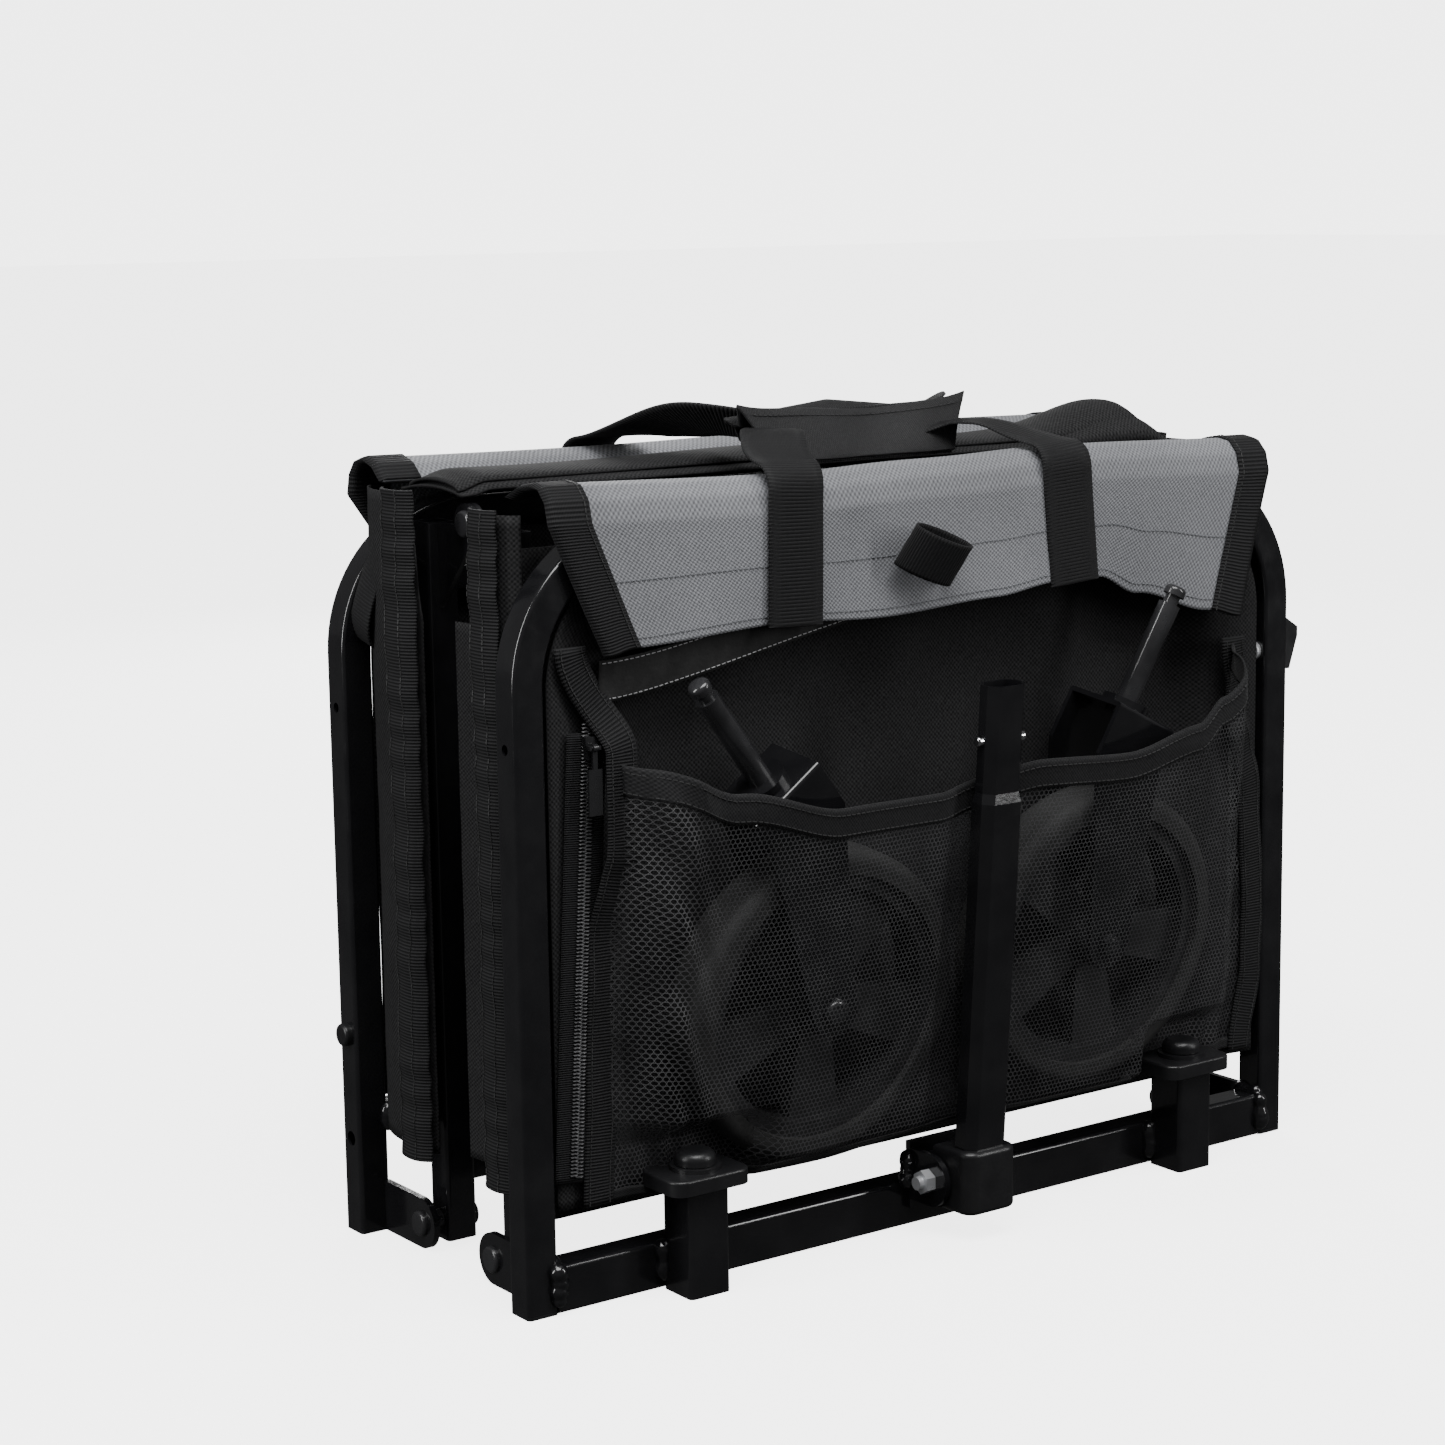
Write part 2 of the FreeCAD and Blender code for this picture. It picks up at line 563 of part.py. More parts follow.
def make_pole_collar():
    """A moulded shoe: the pole stands in it, and its rear lug turns on the bolt."""
    y, z = size("bolt_y"), size("bolt_z")
    half, low, top = size("collar_half"), size("collar_low"), size("collar_top")
    front, back = y - size("collar_front"), y + size("collar_back")
    block_shape = Part.makeBox(2 * half, back - front, top - low, V(-half, front, low))
    upright = [e for e in block_shape.Edges if along(V(0, 0, 1))(e) and e.BoundBox.YMax < y]
    shoe = block_shape.makeFillet(9, upright)
    rim = [e for e in shoe.Edges if e.BoundBox.ZMin > top - 0.1]
    rim += [e for e in shoe.Edges if e.BoundBox.ZMax < low + 0.1 and e.BoundBox.YMax < back]
    shoe = shoe.makeFillet(3, rim)
    lug = Part.makeCylinder(size("ear_round") + 1, 2 * half, V(-half, y, z), V(1, 0, 0))
    shoe = shoe.fuse(lug).removeSplitter()
    socket = pole_body(octagon_bar("pole", -0.05, size("pole_start") - z, size("pole_end") - z))
    bore = Part.makeCylinder(size("bolt_radius + running"), 4 * half, V(-2 * half, y, z), V(1, 0, 0))
    node("pole_collar", solid("pole_collar", shoe.cut(socket).cut(bore)))


def make_pole_buttons():
    """Sprung snap buttons, one through each side of the neck, and the leaf spring behind them."""
    rise = size("button_rise - bolt_z")
    inner = size("neck_wide / 2 - pole_wall")
    reach = size("neck_wide / 2 + button_out")
    r = size("button_radius")
    for side, name in ((-1, "pole_button_left"), (1, "pole_button_right")):
        pin = Part.makeCylinder(r, reach - inner + 0.7, V(side * (inner - 0.7), 0, rise), V(side, 0, 0))
        circles = [e for e in pin.Edges if e.Curve.TypeId == "Part::GeomCircle"]
        tip = [e for e in circles if abs(e.BoundBox.Center.x - side * reach) < 0.01]
        node(name, solid(name, pole_body(pin.makeFillet(1.4, tip))))
    leaf, spread, wide, deep = 0.6, 7.5, 2.2, 60
    legs = []
    for side in (-1, 1):
        outline = [V(0, -wide, rise - deep), V(side * leaf, -wide, rise - deep),
                   V(side * spread, -wide, rise + 6), V(side * (spread - leaf), -wide, rise + 6)]
        legs.append(slab(outline, V(0, 2 * wide, 0)))
    node("button_spring", solid("button_spring", pole_body(legs[0].fuse(legs[1]).removeSplitter())))


# ---------------------------------------------------------------- casters
def caster_placement(side):
    """Where a caster's own axes stand: wheel centre, leaning forward and tipped outwards in the pocket."""
    tag = "left" if side < 0 else "right"
    base = V(size(f"{tag}_wheel_x"), size("wheel_y"), size(f"{tag}_wheel_z"))
    turn = FreeCAD.Rotation(V(1, 0, 0), size("caster_lean")) * FreeCAD.Rotation(V(0, 1, 0), SIZES[f"{tag}_tilt"])
    return FreeCAD.Placement(base, turn)


def ring(outer, inner, width):
    """A flat-sided ring about the wheel's axis, which is Y."""
    low = V(0, -width / 2, 0)
    return Part.makeCylinder(outer, width, low, V(0, 1, 0)).cut(Part.makeCylinder(inner, width, low, V(0, 1, 0)))


def tyre_shape():
    outer, width = size("wheel_radius"), size("tyre_width")
    tyre = ring(outer, outer - size("tyre_thick"), width)
    circles = [e for e in tyre.Edges if e.Curve.TypeId == "Part::GeomCircle"]
    shoulders = [e for e in circles if abs(e.BoundBox.XMax - outer) < 0.1]
    return tyre.makeFillet(8, shoulders)


def rim_shape():
    outer = size("wheel_radius - tyre_thick")
    felloe = ring(outer, outer - size("rim_ring"), size("rim_width"))
    bore = size("axle_radius + running")
    hub = Part.makeCylinder(size("hub_radius"), size("hub_width"), V(0, -size("hub_width") / 2, 0), V(0, 1, 0))
    thick, inside = size("spoke_thick"), size("hub_radius") - 4
    back = -thick / 2
    outline = [V(-11, back, inside), V(11, back, inside), V(19, back, outer - 4), V(-19, back, outer - 4)]
    spoke = slab(outline, V(0, thick, 0))
    spokes = []
    for i in range(int(size("spokes"))):
        turned = spoke.copy()
        turned.rotate(V(), V(0, 1, 0), 360 * i / size("spokes"))
        spokes.append(turned)
    wheel = felloe.fuse([hub] + spokes).removeSplitter()
    return wheel.cut(Part.makeCylinder(bore, 60, V(0, -30, 0), V(0, 1, 0)))


def fork_blade(y_low):
    """One leg of the fork: swept from the crown to a round foot about the axle."""
    x, foot, high, half = size("fork_trail"), size("fork_foot"), size("fork_high"), size("crown_half")
    plate = size("fork_plate")
    lean = math.atan2(x, high)
    left = V(-foot * math.cos(lean), y_low, foot * math.sin(lean))
    right = V(foot * math.cos(lean), y_low, -foot * math.sin(lean))
    outline = [left, right, V(x + half, y_low, high - 34), V(x + half, y_low, high), V(x - half, y_low, high),
               V(x - half, y_low, high - 20)]
    blade = slab(outline, V(0, plate, 0))
    eye = Part.makeCylinder(foot, plate, V(0, y_low, 0), V(0, 1, 0))
    return blade.fuse(eye)


def fork_shape():
    gap, plate, high = size("fork_gap"), size("fork_plate"), size("fork_high")
    x, half = size("fork_trail"), size("crown_half")
    crown = Part.makeBox(2 * half, gap + 2 * plate, plate, V(x - half, -gap / 2 - plate, high - plate))
    fork = crown.fuse([fork_blade(-gap / 2 - plate), fork_blade(gap / 2)]).removeSplitter()
    bends = [e for e in fork.Edges if along(V(1, 0, 0))(e) and e.BoundBox.ZMin > high - 0.1]
    fork = fork.makeFillet(2.5, bends)
    boss = Part.makeCylinder(15, 5, V(x, 0, high - 0.01), V(0, 0, 1))
    fork = fork.fuse(boss)
    axle_hole = Part.makeCylinder(size("axle_radius"), 2 * gap, V(0, -gap, 0), V(0, 1, 0))
    stem_hole = Part.makeCylinder(size("stem_radius"), 30, V(x, 0, high - 20), V(0, 0, 1))
    return fork.cut(axle_hole).cut(stem_hole)


def stem_shape():
    """The stem that snaps into a socket: shank, groove for the latch, and a domed head."""
    x, high, r, long = size("fork_trail"), size("fork_high"), size("stem_radius"), size("stem_length")
    foot = high - size("fork_plate") - 2
    head = 6
    shank = Part.makeCylinder(r, long - 2 * head, V(x, 0, high), V(0, 0, 1))
    shank = shank.fuse(Part.makeCylinder(r, high - foot, V(x, 0, foot), V(0, 0, 1)))
    rivet = Part.makeCylinder(r + 3, 2, V(x, 0, foot), V(0, 0, 1))
    groove = Part.makeCylinder(r - 2.4, head, V(x, 0, high + long - 2 * head), V(0, 0, 1))
    cap = Part.makeCylinder(r - 0.3, head, V(x, 0, high + long - head), V(0, 0, 1))
    cap = cap.makeFillet(3, [e for e in cap.Edges if e.BoundBox.ZMin > high + long - 0.1])
    return shank.fuse([rivet, groove, cap]).removeSplitter()


def axle_shape():
    """Axle bolt with a domed head in front and a lock nut behind."""
    half, r = size("fork_gap") / 2 + size("fork_plate"), size("axle_radius")
    shank = Part.makeCylinder(r, 2 * half + 5, V(0, -half, 0), V(0, 1, 0))
    head = Part.makeCylinder(2 * r, 4, V(0, -half - 4, 0), V(0, 1, 0))
    head = head.makeFillet(2.5, [e for e in head.Edges if e.BoundBox.YMax < -half - 3.9])
    corners = [V(7 * math.cos(a), half, 7 * math.sin(a)) for a in [i * math.pi / 3 for i in range(6)]]
    nut = slab(corners, V(0, 4, 0))
    return shank.fuse([head, nut])


def make_casters():
    """Two alike casters; the right one stands turned half round its stem."""
    shapes = {"fork": fork_shape, "stem": stem_shape, "axle": axle_shape, "tyre": tyre_shape, "rim": rim_shape}
    for side, tag in ((-1, "left"), (1, "right")):
        flip = FreeCAD.Placement(V(), FreeCAD.Rotation(V(0, 0, 1), 0 if side < 0 else 180))
        for name, make in shapes.items():
            piece = solid(f"{name}_{tag}", make())
            piece.Placement = caster_placement(side) * flip
            node(f"{name}_{tag}", piece)


# ---------------------------------------------------------------- fabric tub, front
def drape(plan, z_low, z_high, thick):
    """An upright cloth wall over a plan line, with the given thickness behind the line."""
    behind = [V(p.x, p.y + thick, 0) for p in reversed(plan)]
    outline = [V(p.x, p.y, z_low) for p in plan] + [V(p.x, p.y, z_low) for p in behind]
    return slab(outline, V(0, 0, z_high - z_low))


def rounded_top(half, low, top, y_low, deep):
    """The space inside a hoop that a cloth wall may fill: its top corners follow the bends."""
    space = Part.makeBox(2 * half, deep, top - low, V(-half, y_low, low))
    corners = [e for e in space.Edges if along(V(0, 1, 0))(e) and e.BoundBox.ZMin > top - 0.1]
    return space.makeFillet(size("panel_corner"), corners)


def make_front_panel():
    """The tub's front wall, pushed back behind the stowed wheels."""
    half, face = size("panel_half"), size("front_face")
    plan = [V(-half, face + 5), V(-half + 40, face + 8), V(-half + 78, face + 27),
            V(half - 62, face + 27), V(half - 30, face + 8), V(half, face + 5)]
    low, top = size("panel_low"), size("panel_top")
    wall = drape(plan, low, top, size("cloth"))
    node("front_panel", solid("front_panel", wall.common(rounded_top(half, low, top, face, 40))))


def pocket_line(out, z):
    """The pocket's front line at one height: it stands out beside each wheel and less behind the pole."""
    face, half = size("front_face"), size("panel_half")
    # each pair is a place across the wall and its share of the full stand-out
    reach = ((32 - half, 0), (66 - half, 0.8), (-130, 1), (-40, 0.9), (-14, 0.8),
             (14, 0.8), (60, 0.95), (150, 1), (half - 66, 0.85), (half - 25, 0))
    return [V(x, face + 4 - (out + 4) * share, z) for x, share in reach]


def pocket_wall(out, z):
    line = pocket_line(out, z)
    behind = [p + V(0, size("cloth"), 0) for p in reversed(line)]
    return Part.makePolygon(line + behind + line[:1])


def make_pocket():
    """The mesh pocket: a wall that leans out to its open top, over a shallow bottom."""
    low, top, face = size("panel_low"), size("pocket_top"), size("front_face")
    out = size("pocket_out_low")
    wall = Part.makeLoft([pocket_wall(out, low), pocket_wall(size("pocket_out_top"), top)], True, True)
    line = pocket_line(out, low)
    back = [V(line[-1].x, face + 24, low), V(line[0].x, face + 24, low)]
    pocket = wall.fuse(slab(line + back, V(0, 0, size("cloth") / 2))).removeSplitter()
    # the lower corners stay clear of the latch housings
    latch_clear = size("socket_x - latch_long / 2") - 8
    latch_over = size("socket_top + latch_high + knob_high") + 8
    for x in (-latch_clear - size("frame_width"), latch_clear):
        pocket = pocket.cut(Part.makeBox(size("frame_width"), 120, latch_over, V(x, face - 80, 0)))
    node("wheel_pocket", solid("wheel_pocket", pocket))


def trapezoid(y, z_low, z_high, half_low, half_high, thick):
    outline = [V(-half_low, y, z_low), V(half_low, y, z_low), V(half_high, y, z_high), V(-half_high, y, z_high)]
    return slab(outline, V(0, thick, 0))


def make_front_flap():
    """The weather flap: over the top of the hoop and down its front, narrower at its lower edge."""
    face, top, thick = size("front_face"), size("flap_top"), size("flap_thick")
    over = size("frame_height") + 1
    leaf = trapezoid(face - 3 - thick, size("flap_low"), top, size("flap_half_low"), size("flap_half_top"), thick)
    crown = Part.makeBox(2 * size("flap_half_top"), 40, top - over, V(-size("flap_half_top"), face - 3, over))
    node("front_flap", solid("front_flap", leaf.fuse(crown).removeSplitter()))
    strip = trapezoid(face - 2.5, size("hooks_low"), size("hooks_high"), 200, 208, 2)
    node("hook_strip", solid("hook_strip", strip))


def make_carry_straps():
    """The front webbing loop over the flap, and the cloth wrap that joins both loops into one handle."""
    face, top, wide, thick = size("front_face"), size("flap_top"), size("webbing"), size("strap_thick")
    skin = face - 3 - size("flap_thick")
    wrap_front = skin + 44
    long, high = size("wrap_right - wrap_left"), size("wrap_high - wrap_low")
    wrap = Part.makeBox(long, 50, high, V(size("wrap_left"), wrap_front, size("wrap_low")))
    wrap = wrap.makeFillet(10, [e for e in wrap.Edges if along(V(1, 0, 0))(e)])
    node("handle_wrap", solid("handle_wrap", wrap))
    bands = []
    for x, lead in ((size("left_strap_x"), 15), (size("right_strap_x"), -24)):
        low = size("flap_low")
        hang = Part.makeBox(wide, thick, top + thick - low, V(x - wide / 2, skin - thick, low))
        over = Part.makeBox(wide, 22, thick, V(x - wide / 2, skin, top))
        start, end, rise = skin + 22, wrap_front + 1, size("wrap_low") + 16
        ramp = slab([V(x - wide / 2, start, top), V(x + wide / 2, start, top), V(x + lead + 10, end, rise),
                     V(x + lead - 10, end, rise)], V(0, 0, thick))
        bands.append(hang.fuse([over, ramp]).removeSplitter().cut(wrap))
    node("front_carry_strap", solid("front_carry_strap", Part.makeCompound(bands)))


def make_strap_keeper():
    """A short loop of webbing sewn to the flap, which holds the rolled flap or the pole."""
    skin = size("front_face") - 3 - size("flap_thick")
    low, high = size("keeper_low"), size("keeper_high")
    left, wide, deep, wall = size("keeper_x - keeper_wide / 2"), size("keeper_wide"), size("keeper_deep"), 2
    outer = Part.makeBox(wide, deep, high - low, V(left, skin - deep, low))
    bends = [e for e in outer.Edges if along(V(0, 0, 1))(e) and e.BoundBox.YMax < skin - deep / 2]
    outer = outer.makeFillet(8, bends)
    inner = Part.makeBox(wide - 2 * wall, deep - 3.5, high, V(left + wall, skin - deep + 1.7, low - 10))
    node("strap_keeper", solid("strap_keeper", outer.cut(inner)))


def make_strap_hook():
    """A moulded hook on the right leg that holds the fold strap, and its bolt."""
    x, y, z = size("frame_width / 2"), size(FRONT_Y), 328
    outline = [V(x, y - 8, z - 17), V(x + 4, y - 8, z - 17), V(x + 11, y - 8, z + 4), V(x + 11, y - 8, z + 10),
               V(x, y - 8, z + 17)]
    hook = slab(outline, V(0, 16, 0)).cut(Part.makeCylinder(3, 40, V(x - 10, y, LEG_HOLE_RISE), V(1, 0, 0)))
    node("strap_hook", solid("strap_hook", hook))
    shank = Part.makeCylinder(3, size("tube") + 8, V(x - size("tube"), y, LEG_HOLE_RISE), V(1, 0, 0))
    head = Part.makeCylinder(6, 3, V(x - size("tube") - 3, y, LEG_HOLE_RISE), V(1, 0, 0))
    node("strap_hook_bolt", solid("strap_hook_bolt", shank.fuse(head).removeSplitter()))


def zip_direction():
    low = point("zip_low_x", 0, "zip_low_z")
    top = point("zip_top_x", 0, "zip_top_z")
    return (low - top).normalize()


def make_zip():
    """A coil zip down the left edge of the front panel, with its slider and pull at the top."""
    run = zip_direction()
    side = V(-run.z, 0, run.x)
    y = size("front_face") + 1
    top = V(size("zip_top_x"), y, size("zip_top_z")) - run * 14
    low = V(size("zip_low_x"), y, size("zip_low_z"))
    chain = slab([top - side * 3, top + side * 3, low + side * 3, low - side * 3], V(0, 2, 0))
    node("zip_chain", solid("zip_chain", chain))
    at = V(size("zip_top_x"), y - 0.4, size("zip_top_z"))
    wide_end, narrow_end = at - run * 6, at + run * 7
    slider = slab([wide_end - side * 4.5, wide_end + side * 4.5, narrow_end + side * 3, narrow_end - side * 3],
                  V(0, -4, 0))
    pivot = V(at.x, at.y - 6.6, at.z)
    eye = Part.makeCylinder(1.2, 5, pivot - V(2.5, 0, 0), V(1, 0, 0))
    posts = [Part.makeBox(1.2, 3.8, 2.4, V(at.x + dx, pivot.y - 1.2, at.z - 1.2)) for dx in (-3.7, 2.5)]
    node("zip_slider", solid("zip_slider", slider.fuse([eye] + posts).removeSplitter()))
    knuckle = Part.makeCylinder(2.2, 3, pivot - V(1.5, 0, 0), V(1, 0, 0))
    tongue = Part.makeBox(3, 1.6, 34, pivot - V(1.5, 0.8, 36))
    blade = Part.makeBox(9, 1.6, 26, pivot - V(4.5, 0.8, 38))
    hole = Part.makeCylinder(1.25, 8, pivot - V(4, 0, 0), V(1, 0, 0))
    pull = knuckle.fuse([tongue, blade]).removeSplitter().cut(hole)
    node("zip_pull", solid("zip_pull", pull))


# ---------------------------------------------------------------- fabric tub, rear and sides
def make_rear_cloth():
    """The tub's rear wall, its flap, its carry strap, the folded canopy and the side loop."""
    half, rear = size("panel_half"), size("front_face + frame_depth")
    wall = rounded_top(half, size("rear_panel_low"), size("panel_top"), rear - 11, size("cloth"))
    node("rear_panel", solid("rear_panel", wall))
    top, thick, over = size("rear_flap_top"), size("flap_thick"), size("frame_height") + 1
    leaf = trapezoid(rear + 2, size("rear_flap_low"), top, size("flap_half_low"), size("rear_flap_half"), thick)
    crown = Part.makeBox(2 * size("rear_flap_half"), 38, top - over, V(-size("rear_flap_half"), rear - 36, over))
    node("rear_flap", solid("rear_flap", leaf.fuse(crown).removeSplitter()))
    low, high = size("canopy_low"), size("canopy_high")
    bundle = Part.makeBox(540, 72, high - low, V(-232, rear - 110, low))
    bundle = bundle.makeFillet(9, [e for e in bundle.Edges if along(V(1, 0, 0))(e)])
    node("folded_canopy", solid("folded_canopy", bundle))
    bands = []
    for x in (size("left_strap_x"), size("right_strap_x")):
        wide, band = size("webbing"), size("strap_thick")
        hang = Part.makeBox(wide, band, 90, V(x - wide / 2, rear + 2 + thick, top - 90 + band))
        over_top = Part.makeBox(wide, rear + 2 + thick - (rear - 112), band, V(x - wide / 2, rear - 112, top + 5))
        riser = Part.makeBox(wide, band, 5 + band, V(x - wide / 2, rear + 2 + thick, top))
        bands.append(hang.fuse([riser, over_top]).removeSplitter())
    node("rear_carry_strap", solid("rear_carry_strap", Part.makeCompound(bands)))
    loop = Part.makeBox(9, 22, 50, V(-279, rear - 45, 362))
    node("side_loop", solid("side_loop", loop.makeFillet(3, loop.Edges)))


def make_side_folds():
    """The tub's side walls, folded into a pleat between each hoop and the middle."""
    deep, low, high, thick = size("side_deep"), size("side_low"), size("side_high"), size("side_thick")
    front, rear = size("front_face + tube") + 5, size("front_face + frame_depth - tube") - 5
    for end, y in (("front", front), ("rear", rear - deep)):
        walls = []
        for side in (-1, 1):
            corner = V(side * size("side_x") - thick / 2, y, low)
            walls.append(Part.makeBox(thick, deep, high - low, corner))
        node(f"{end}_side_folds", solid(f"{end}_side_folds", Part.makeCompound(walls)))


def build():
    make_hoops()
    make_crossbars()
    make_leg_plug()
    for end in ("front", "rear"):
        make_leg_hinges(end)
        floor_frame(end)
    make_centre_hinges()
    make_floor_mats()
    make_sockets()
    make_clevis()
    make_clevis_bolt()
    make_pole()
    make_pole_collar()
    make_pole_buttons()
    make_casters()
    make_front_panel()
    make_pocket()
    make_front_flap()
    make_carry_straps()
    make_strap_keeper()
    make_strap_hook()
    make_zip()
    make_rear_cloth()
    make_side_folds()
    doc.recompute()


def check_and_export():
    """Stop on any failed feature or bad shape, then write one STEP file for each sub-part."""
    failed = [o.Name for o in doc.Objects if {"Invalid", "Error"} & set(o.State)]
    for label, thing in nodes.items():
        shape = thing.Shape
        if shape.isNull() or not shape.isValid() or not shape.Solids:
            failed.append(label)
    if failed:
        print("not built:", failed)
        sys.exit(1)
    os.makedirs("parts", exist_ok=True)
    whole = FreeCAD.BoundBox()
    for label, thing in nodes.items():
        thing.Shape.exportStep(f"parts/{label}.step")
        whole.add(thing.Shape.BoundBox)
    print(len(nodes), "sub-parts;", whole)


build()
check_and_export()
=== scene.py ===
import math
import random

import bmesh
import bpy
from mathutils import Euler, Matrix, Vector


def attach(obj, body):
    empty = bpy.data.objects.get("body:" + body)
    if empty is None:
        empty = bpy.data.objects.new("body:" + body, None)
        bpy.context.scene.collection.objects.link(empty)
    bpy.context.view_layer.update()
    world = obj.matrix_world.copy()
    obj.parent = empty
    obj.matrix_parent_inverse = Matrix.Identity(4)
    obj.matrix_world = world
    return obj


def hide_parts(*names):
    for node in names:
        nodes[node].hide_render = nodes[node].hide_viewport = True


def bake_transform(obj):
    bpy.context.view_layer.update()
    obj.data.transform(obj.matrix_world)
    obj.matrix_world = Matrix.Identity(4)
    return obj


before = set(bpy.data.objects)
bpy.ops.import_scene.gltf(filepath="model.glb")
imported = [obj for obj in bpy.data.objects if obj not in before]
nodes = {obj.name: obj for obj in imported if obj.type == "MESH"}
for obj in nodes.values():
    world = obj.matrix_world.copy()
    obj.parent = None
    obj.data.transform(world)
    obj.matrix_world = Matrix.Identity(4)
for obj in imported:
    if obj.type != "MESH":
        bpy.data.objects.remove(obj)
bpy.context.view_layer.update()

# ---------------------------------------------------------------- steel frame
# Two bent hoops, their crossbars and the floor frames are 20 mm square steel tube under gloss black
# powder coat, which lies a little uneven over the welds and picks up a fine orange peel.


def shader(name):
    material = bpy.data.materials.new(name)
    material.use_nodes = True
    tree = material.node_tree
    return material, tree, tree.nodes["Principled BSDF"]


def step(tree, kind, inputs=(), **settings):
    made = tree.nodes.new(kind)
    for key, value in settings.items():
        setattr(made, key, value)
    for socket, value in dict(inputs).items():
        if isinstance(value, bpy.types.NodeSocket):
            tree.links.new(value, made.inputs[socket])
        else:
            made.inputs[socket].default_value = value
    return made


def speckle(tree, scale, detail=3.0):
    where = step(tree, "ShaderNodeTexCoord").outputs["Object"]
    return step(tree, "ShaderNodeTexNoise", {"Vector": where, "Scale": scale, "Detail": detail}).outputs[0]


def ramp(tree, value, low, high, start=0.3, end=0.7):
    spread = {0: value, 1: start, 2: end, 3: low, 4: high}
    return step(tree, "ShaderNodeMapRange", spread).outputs[0]


def tint(tree, amount, dark, light):
    mixed = step(tree, "ShaderNodeMix", {0: amount, 6: (*dark, 1), 7: (*light, 1)}, data_type="RGBA")
    return mixed.outputs[2]


def relief(tree, surface, height, strength, distance):
    raised = step(tree, "ShaderNodeBump", {"Height": height, "Strength": strength, "Distance": distance})
    tree.links.new(raised.outputs[0], surface.inputs["Normal"])


def coated(name, dark, light, smooth, dull, peel, metallic=0.0, coat=0.0):
    material, tree, surface = shader(name)
    cloudy = speckle(tree, 35)
    tree.links.new(tint(tree, ramp(tree, cloudy, 0, 1), dark, light), surface.inputs["Base Color"])
    tree.links.new(ramp(tree, speckle(tree, 90), smooth, dull), surface.inputs["Roughness"])
    relief(tree, surface, speckle(tree, 420, 2.0), peel, 0.0004)
    surface.inputs["Metallic"].default_value = metallic
    surface.inputs["Coat Weight"].default_value = coat
    surface.inputs["Coat Roughness"].default_value = 0.08
    return material


def finish(names, material):
    for name in names:
        nodes[name].data.materials.clear()
        nodes[name].data.materials.append(material)


powder_coat = coated("powder_coat", (0.006, 0.006, 0.007), (0.011, 0.011, 0.012), 0.12, 0.24, 0.12,
                     coat=0.6)
finish(["front_hoop", "rear_hoop", "front_crossbar", "rear_crossbar", "front_floor_frame",
        "rear_floor_frame", "caster_sockets", "pole_clevis", "pole_tube", "fork_left", "fork_right",
        "front_hinge_plates", "rear_hinge_plates", "front_centre_plates", "rear_centre_plates"],
       powder_coat)

# ---------------------------------------------------------------- weld beads
# The crossbars, caster sockets and clevis are welded on: each short seam is a lumpy row of puddles
# that the powder coat rounds over.


def at(x, y, z):
    return Vector((x, y, z)) / 1000


def keep(name, mesh, material, body):
    data = bpy.data.meshes.new(name)
    mesh.to_mesh(data)
    mesh.free()
    data.materials.append(material)
    made = bpy.data.objects.new(name, data)
    bpy.context.scene.collection.objects.link(made)
    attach(made, body)
    return made


dice = random.Random(4)
puddles = 7
bead_size = 5.3
shake = 0.0006


def weld(bead, start, end):
    """One seam of overlapping puddles from start to end."""
    for number in range(puddles):
        share = (number + 0.5) / puddles
        swell = bead_size * dice.uniform(0.75, 1.2) / 1000
        spot = at(*start).lerp(at(*end), share) + Vector([dice.uniform(-shake, shake) for axis in range(3)])
        scale = Matrix.Diagonal((swell, swell, swell, 1))
        bmesh.ops.create_icosphere(bead, subdivisions=2, radius=1, matrix=Matrix.Translation(spot) @ scale)


seams = {
    "front_frame": [((-276, -74, 8), (-276, -74, 26)), ((276, -74, 8), (276, -74, 26)),
                    ((-276, -70, 28.5), (-276, -56, 28.5)), ((276, -70, 28.5), (276, -56, 28.5)),
                    ((-205, -74, 8), (-205, -74, 25)), ((176.5, -74, 8), (176.5, -74, 25)),
                    ((-176.5, -74, 8), (-176.5, -74, 25)), ((205, -74, 8), (205, -74, 25)),
                    ((-26, -76, 29), (-26, -76, 45)), ((26, -76, 29), (26, -76, 45))],
    "rear_frame": [((-276, 117, 66), (-276, 117, 77)), ((276, 117, 66), (276, 117, 77)),
                   ((-276, 136, 67), (-276, 136, 77)), ((276, 136, 67), (276, 136, 77))]}
for body, runs in seams.items():
    bead = bmesh.new()
    for start, end in runs:
        weld(bead, start, end)
    welded = keep("welds_" + body, bead, powder_coat, body)
    melt = welded.modifiers.new("melt", "REMESH")
    melt.mode = "VOXEL"
    melt.voxel_size = 0.0008
    melt.use_smooth_shade = True

# ---------------------------------------------------------------- small metal and plastic fittings
# Rivets, stems and axles are blackened steel, the clevis and hook bolts bright zinc, and the snap
# buttons and their spring polished. Caps, latches, bushes, hook and pole collar are moulded nylon.

blackened = coated("blackened_steel", (0.012, 0.012, 0.013), (0.03, 0.03, 0.032), 0.14, 0.3, 0.08,
                   coat=0.5)
zinc = coated("bright_zinc", (0.55, 0.56, 0.58), (0.78, 0.78, 0.8), 0.26, 0.42, 0.15, metallic=0.55)
polished = coated("polished_steel", (0.62, 0.62, 0.64), (0.75, 0.75, 0.76), 0.06, 0.14, 0.03,
                  metallic=1.0)
nylon = coated("moulded_nylon", (0.008, 0.008, 0.009), (0.014, 0.014, 0.015), 0.28, 0.4, 0.3)
finish(["front_hinge_pins", "rear_hinge_pins", "centre_pins", "stem_left", "stem_right", "axle_left",
        "axle_right"], blackened)
finish(["clevis_bolt", "strap_hook_bolt"], zinc)
finish(["button_spring", "pole_button_left", "pole_button_right"], polished)
finish(["front_leg_caps", "rear_leg_caps", "rear_leg_plug", "latch_housings", "latch_knob_left",
        "latch_knob_right", "socket_bushes", "pole_collar", "strap_hook"], nylon)

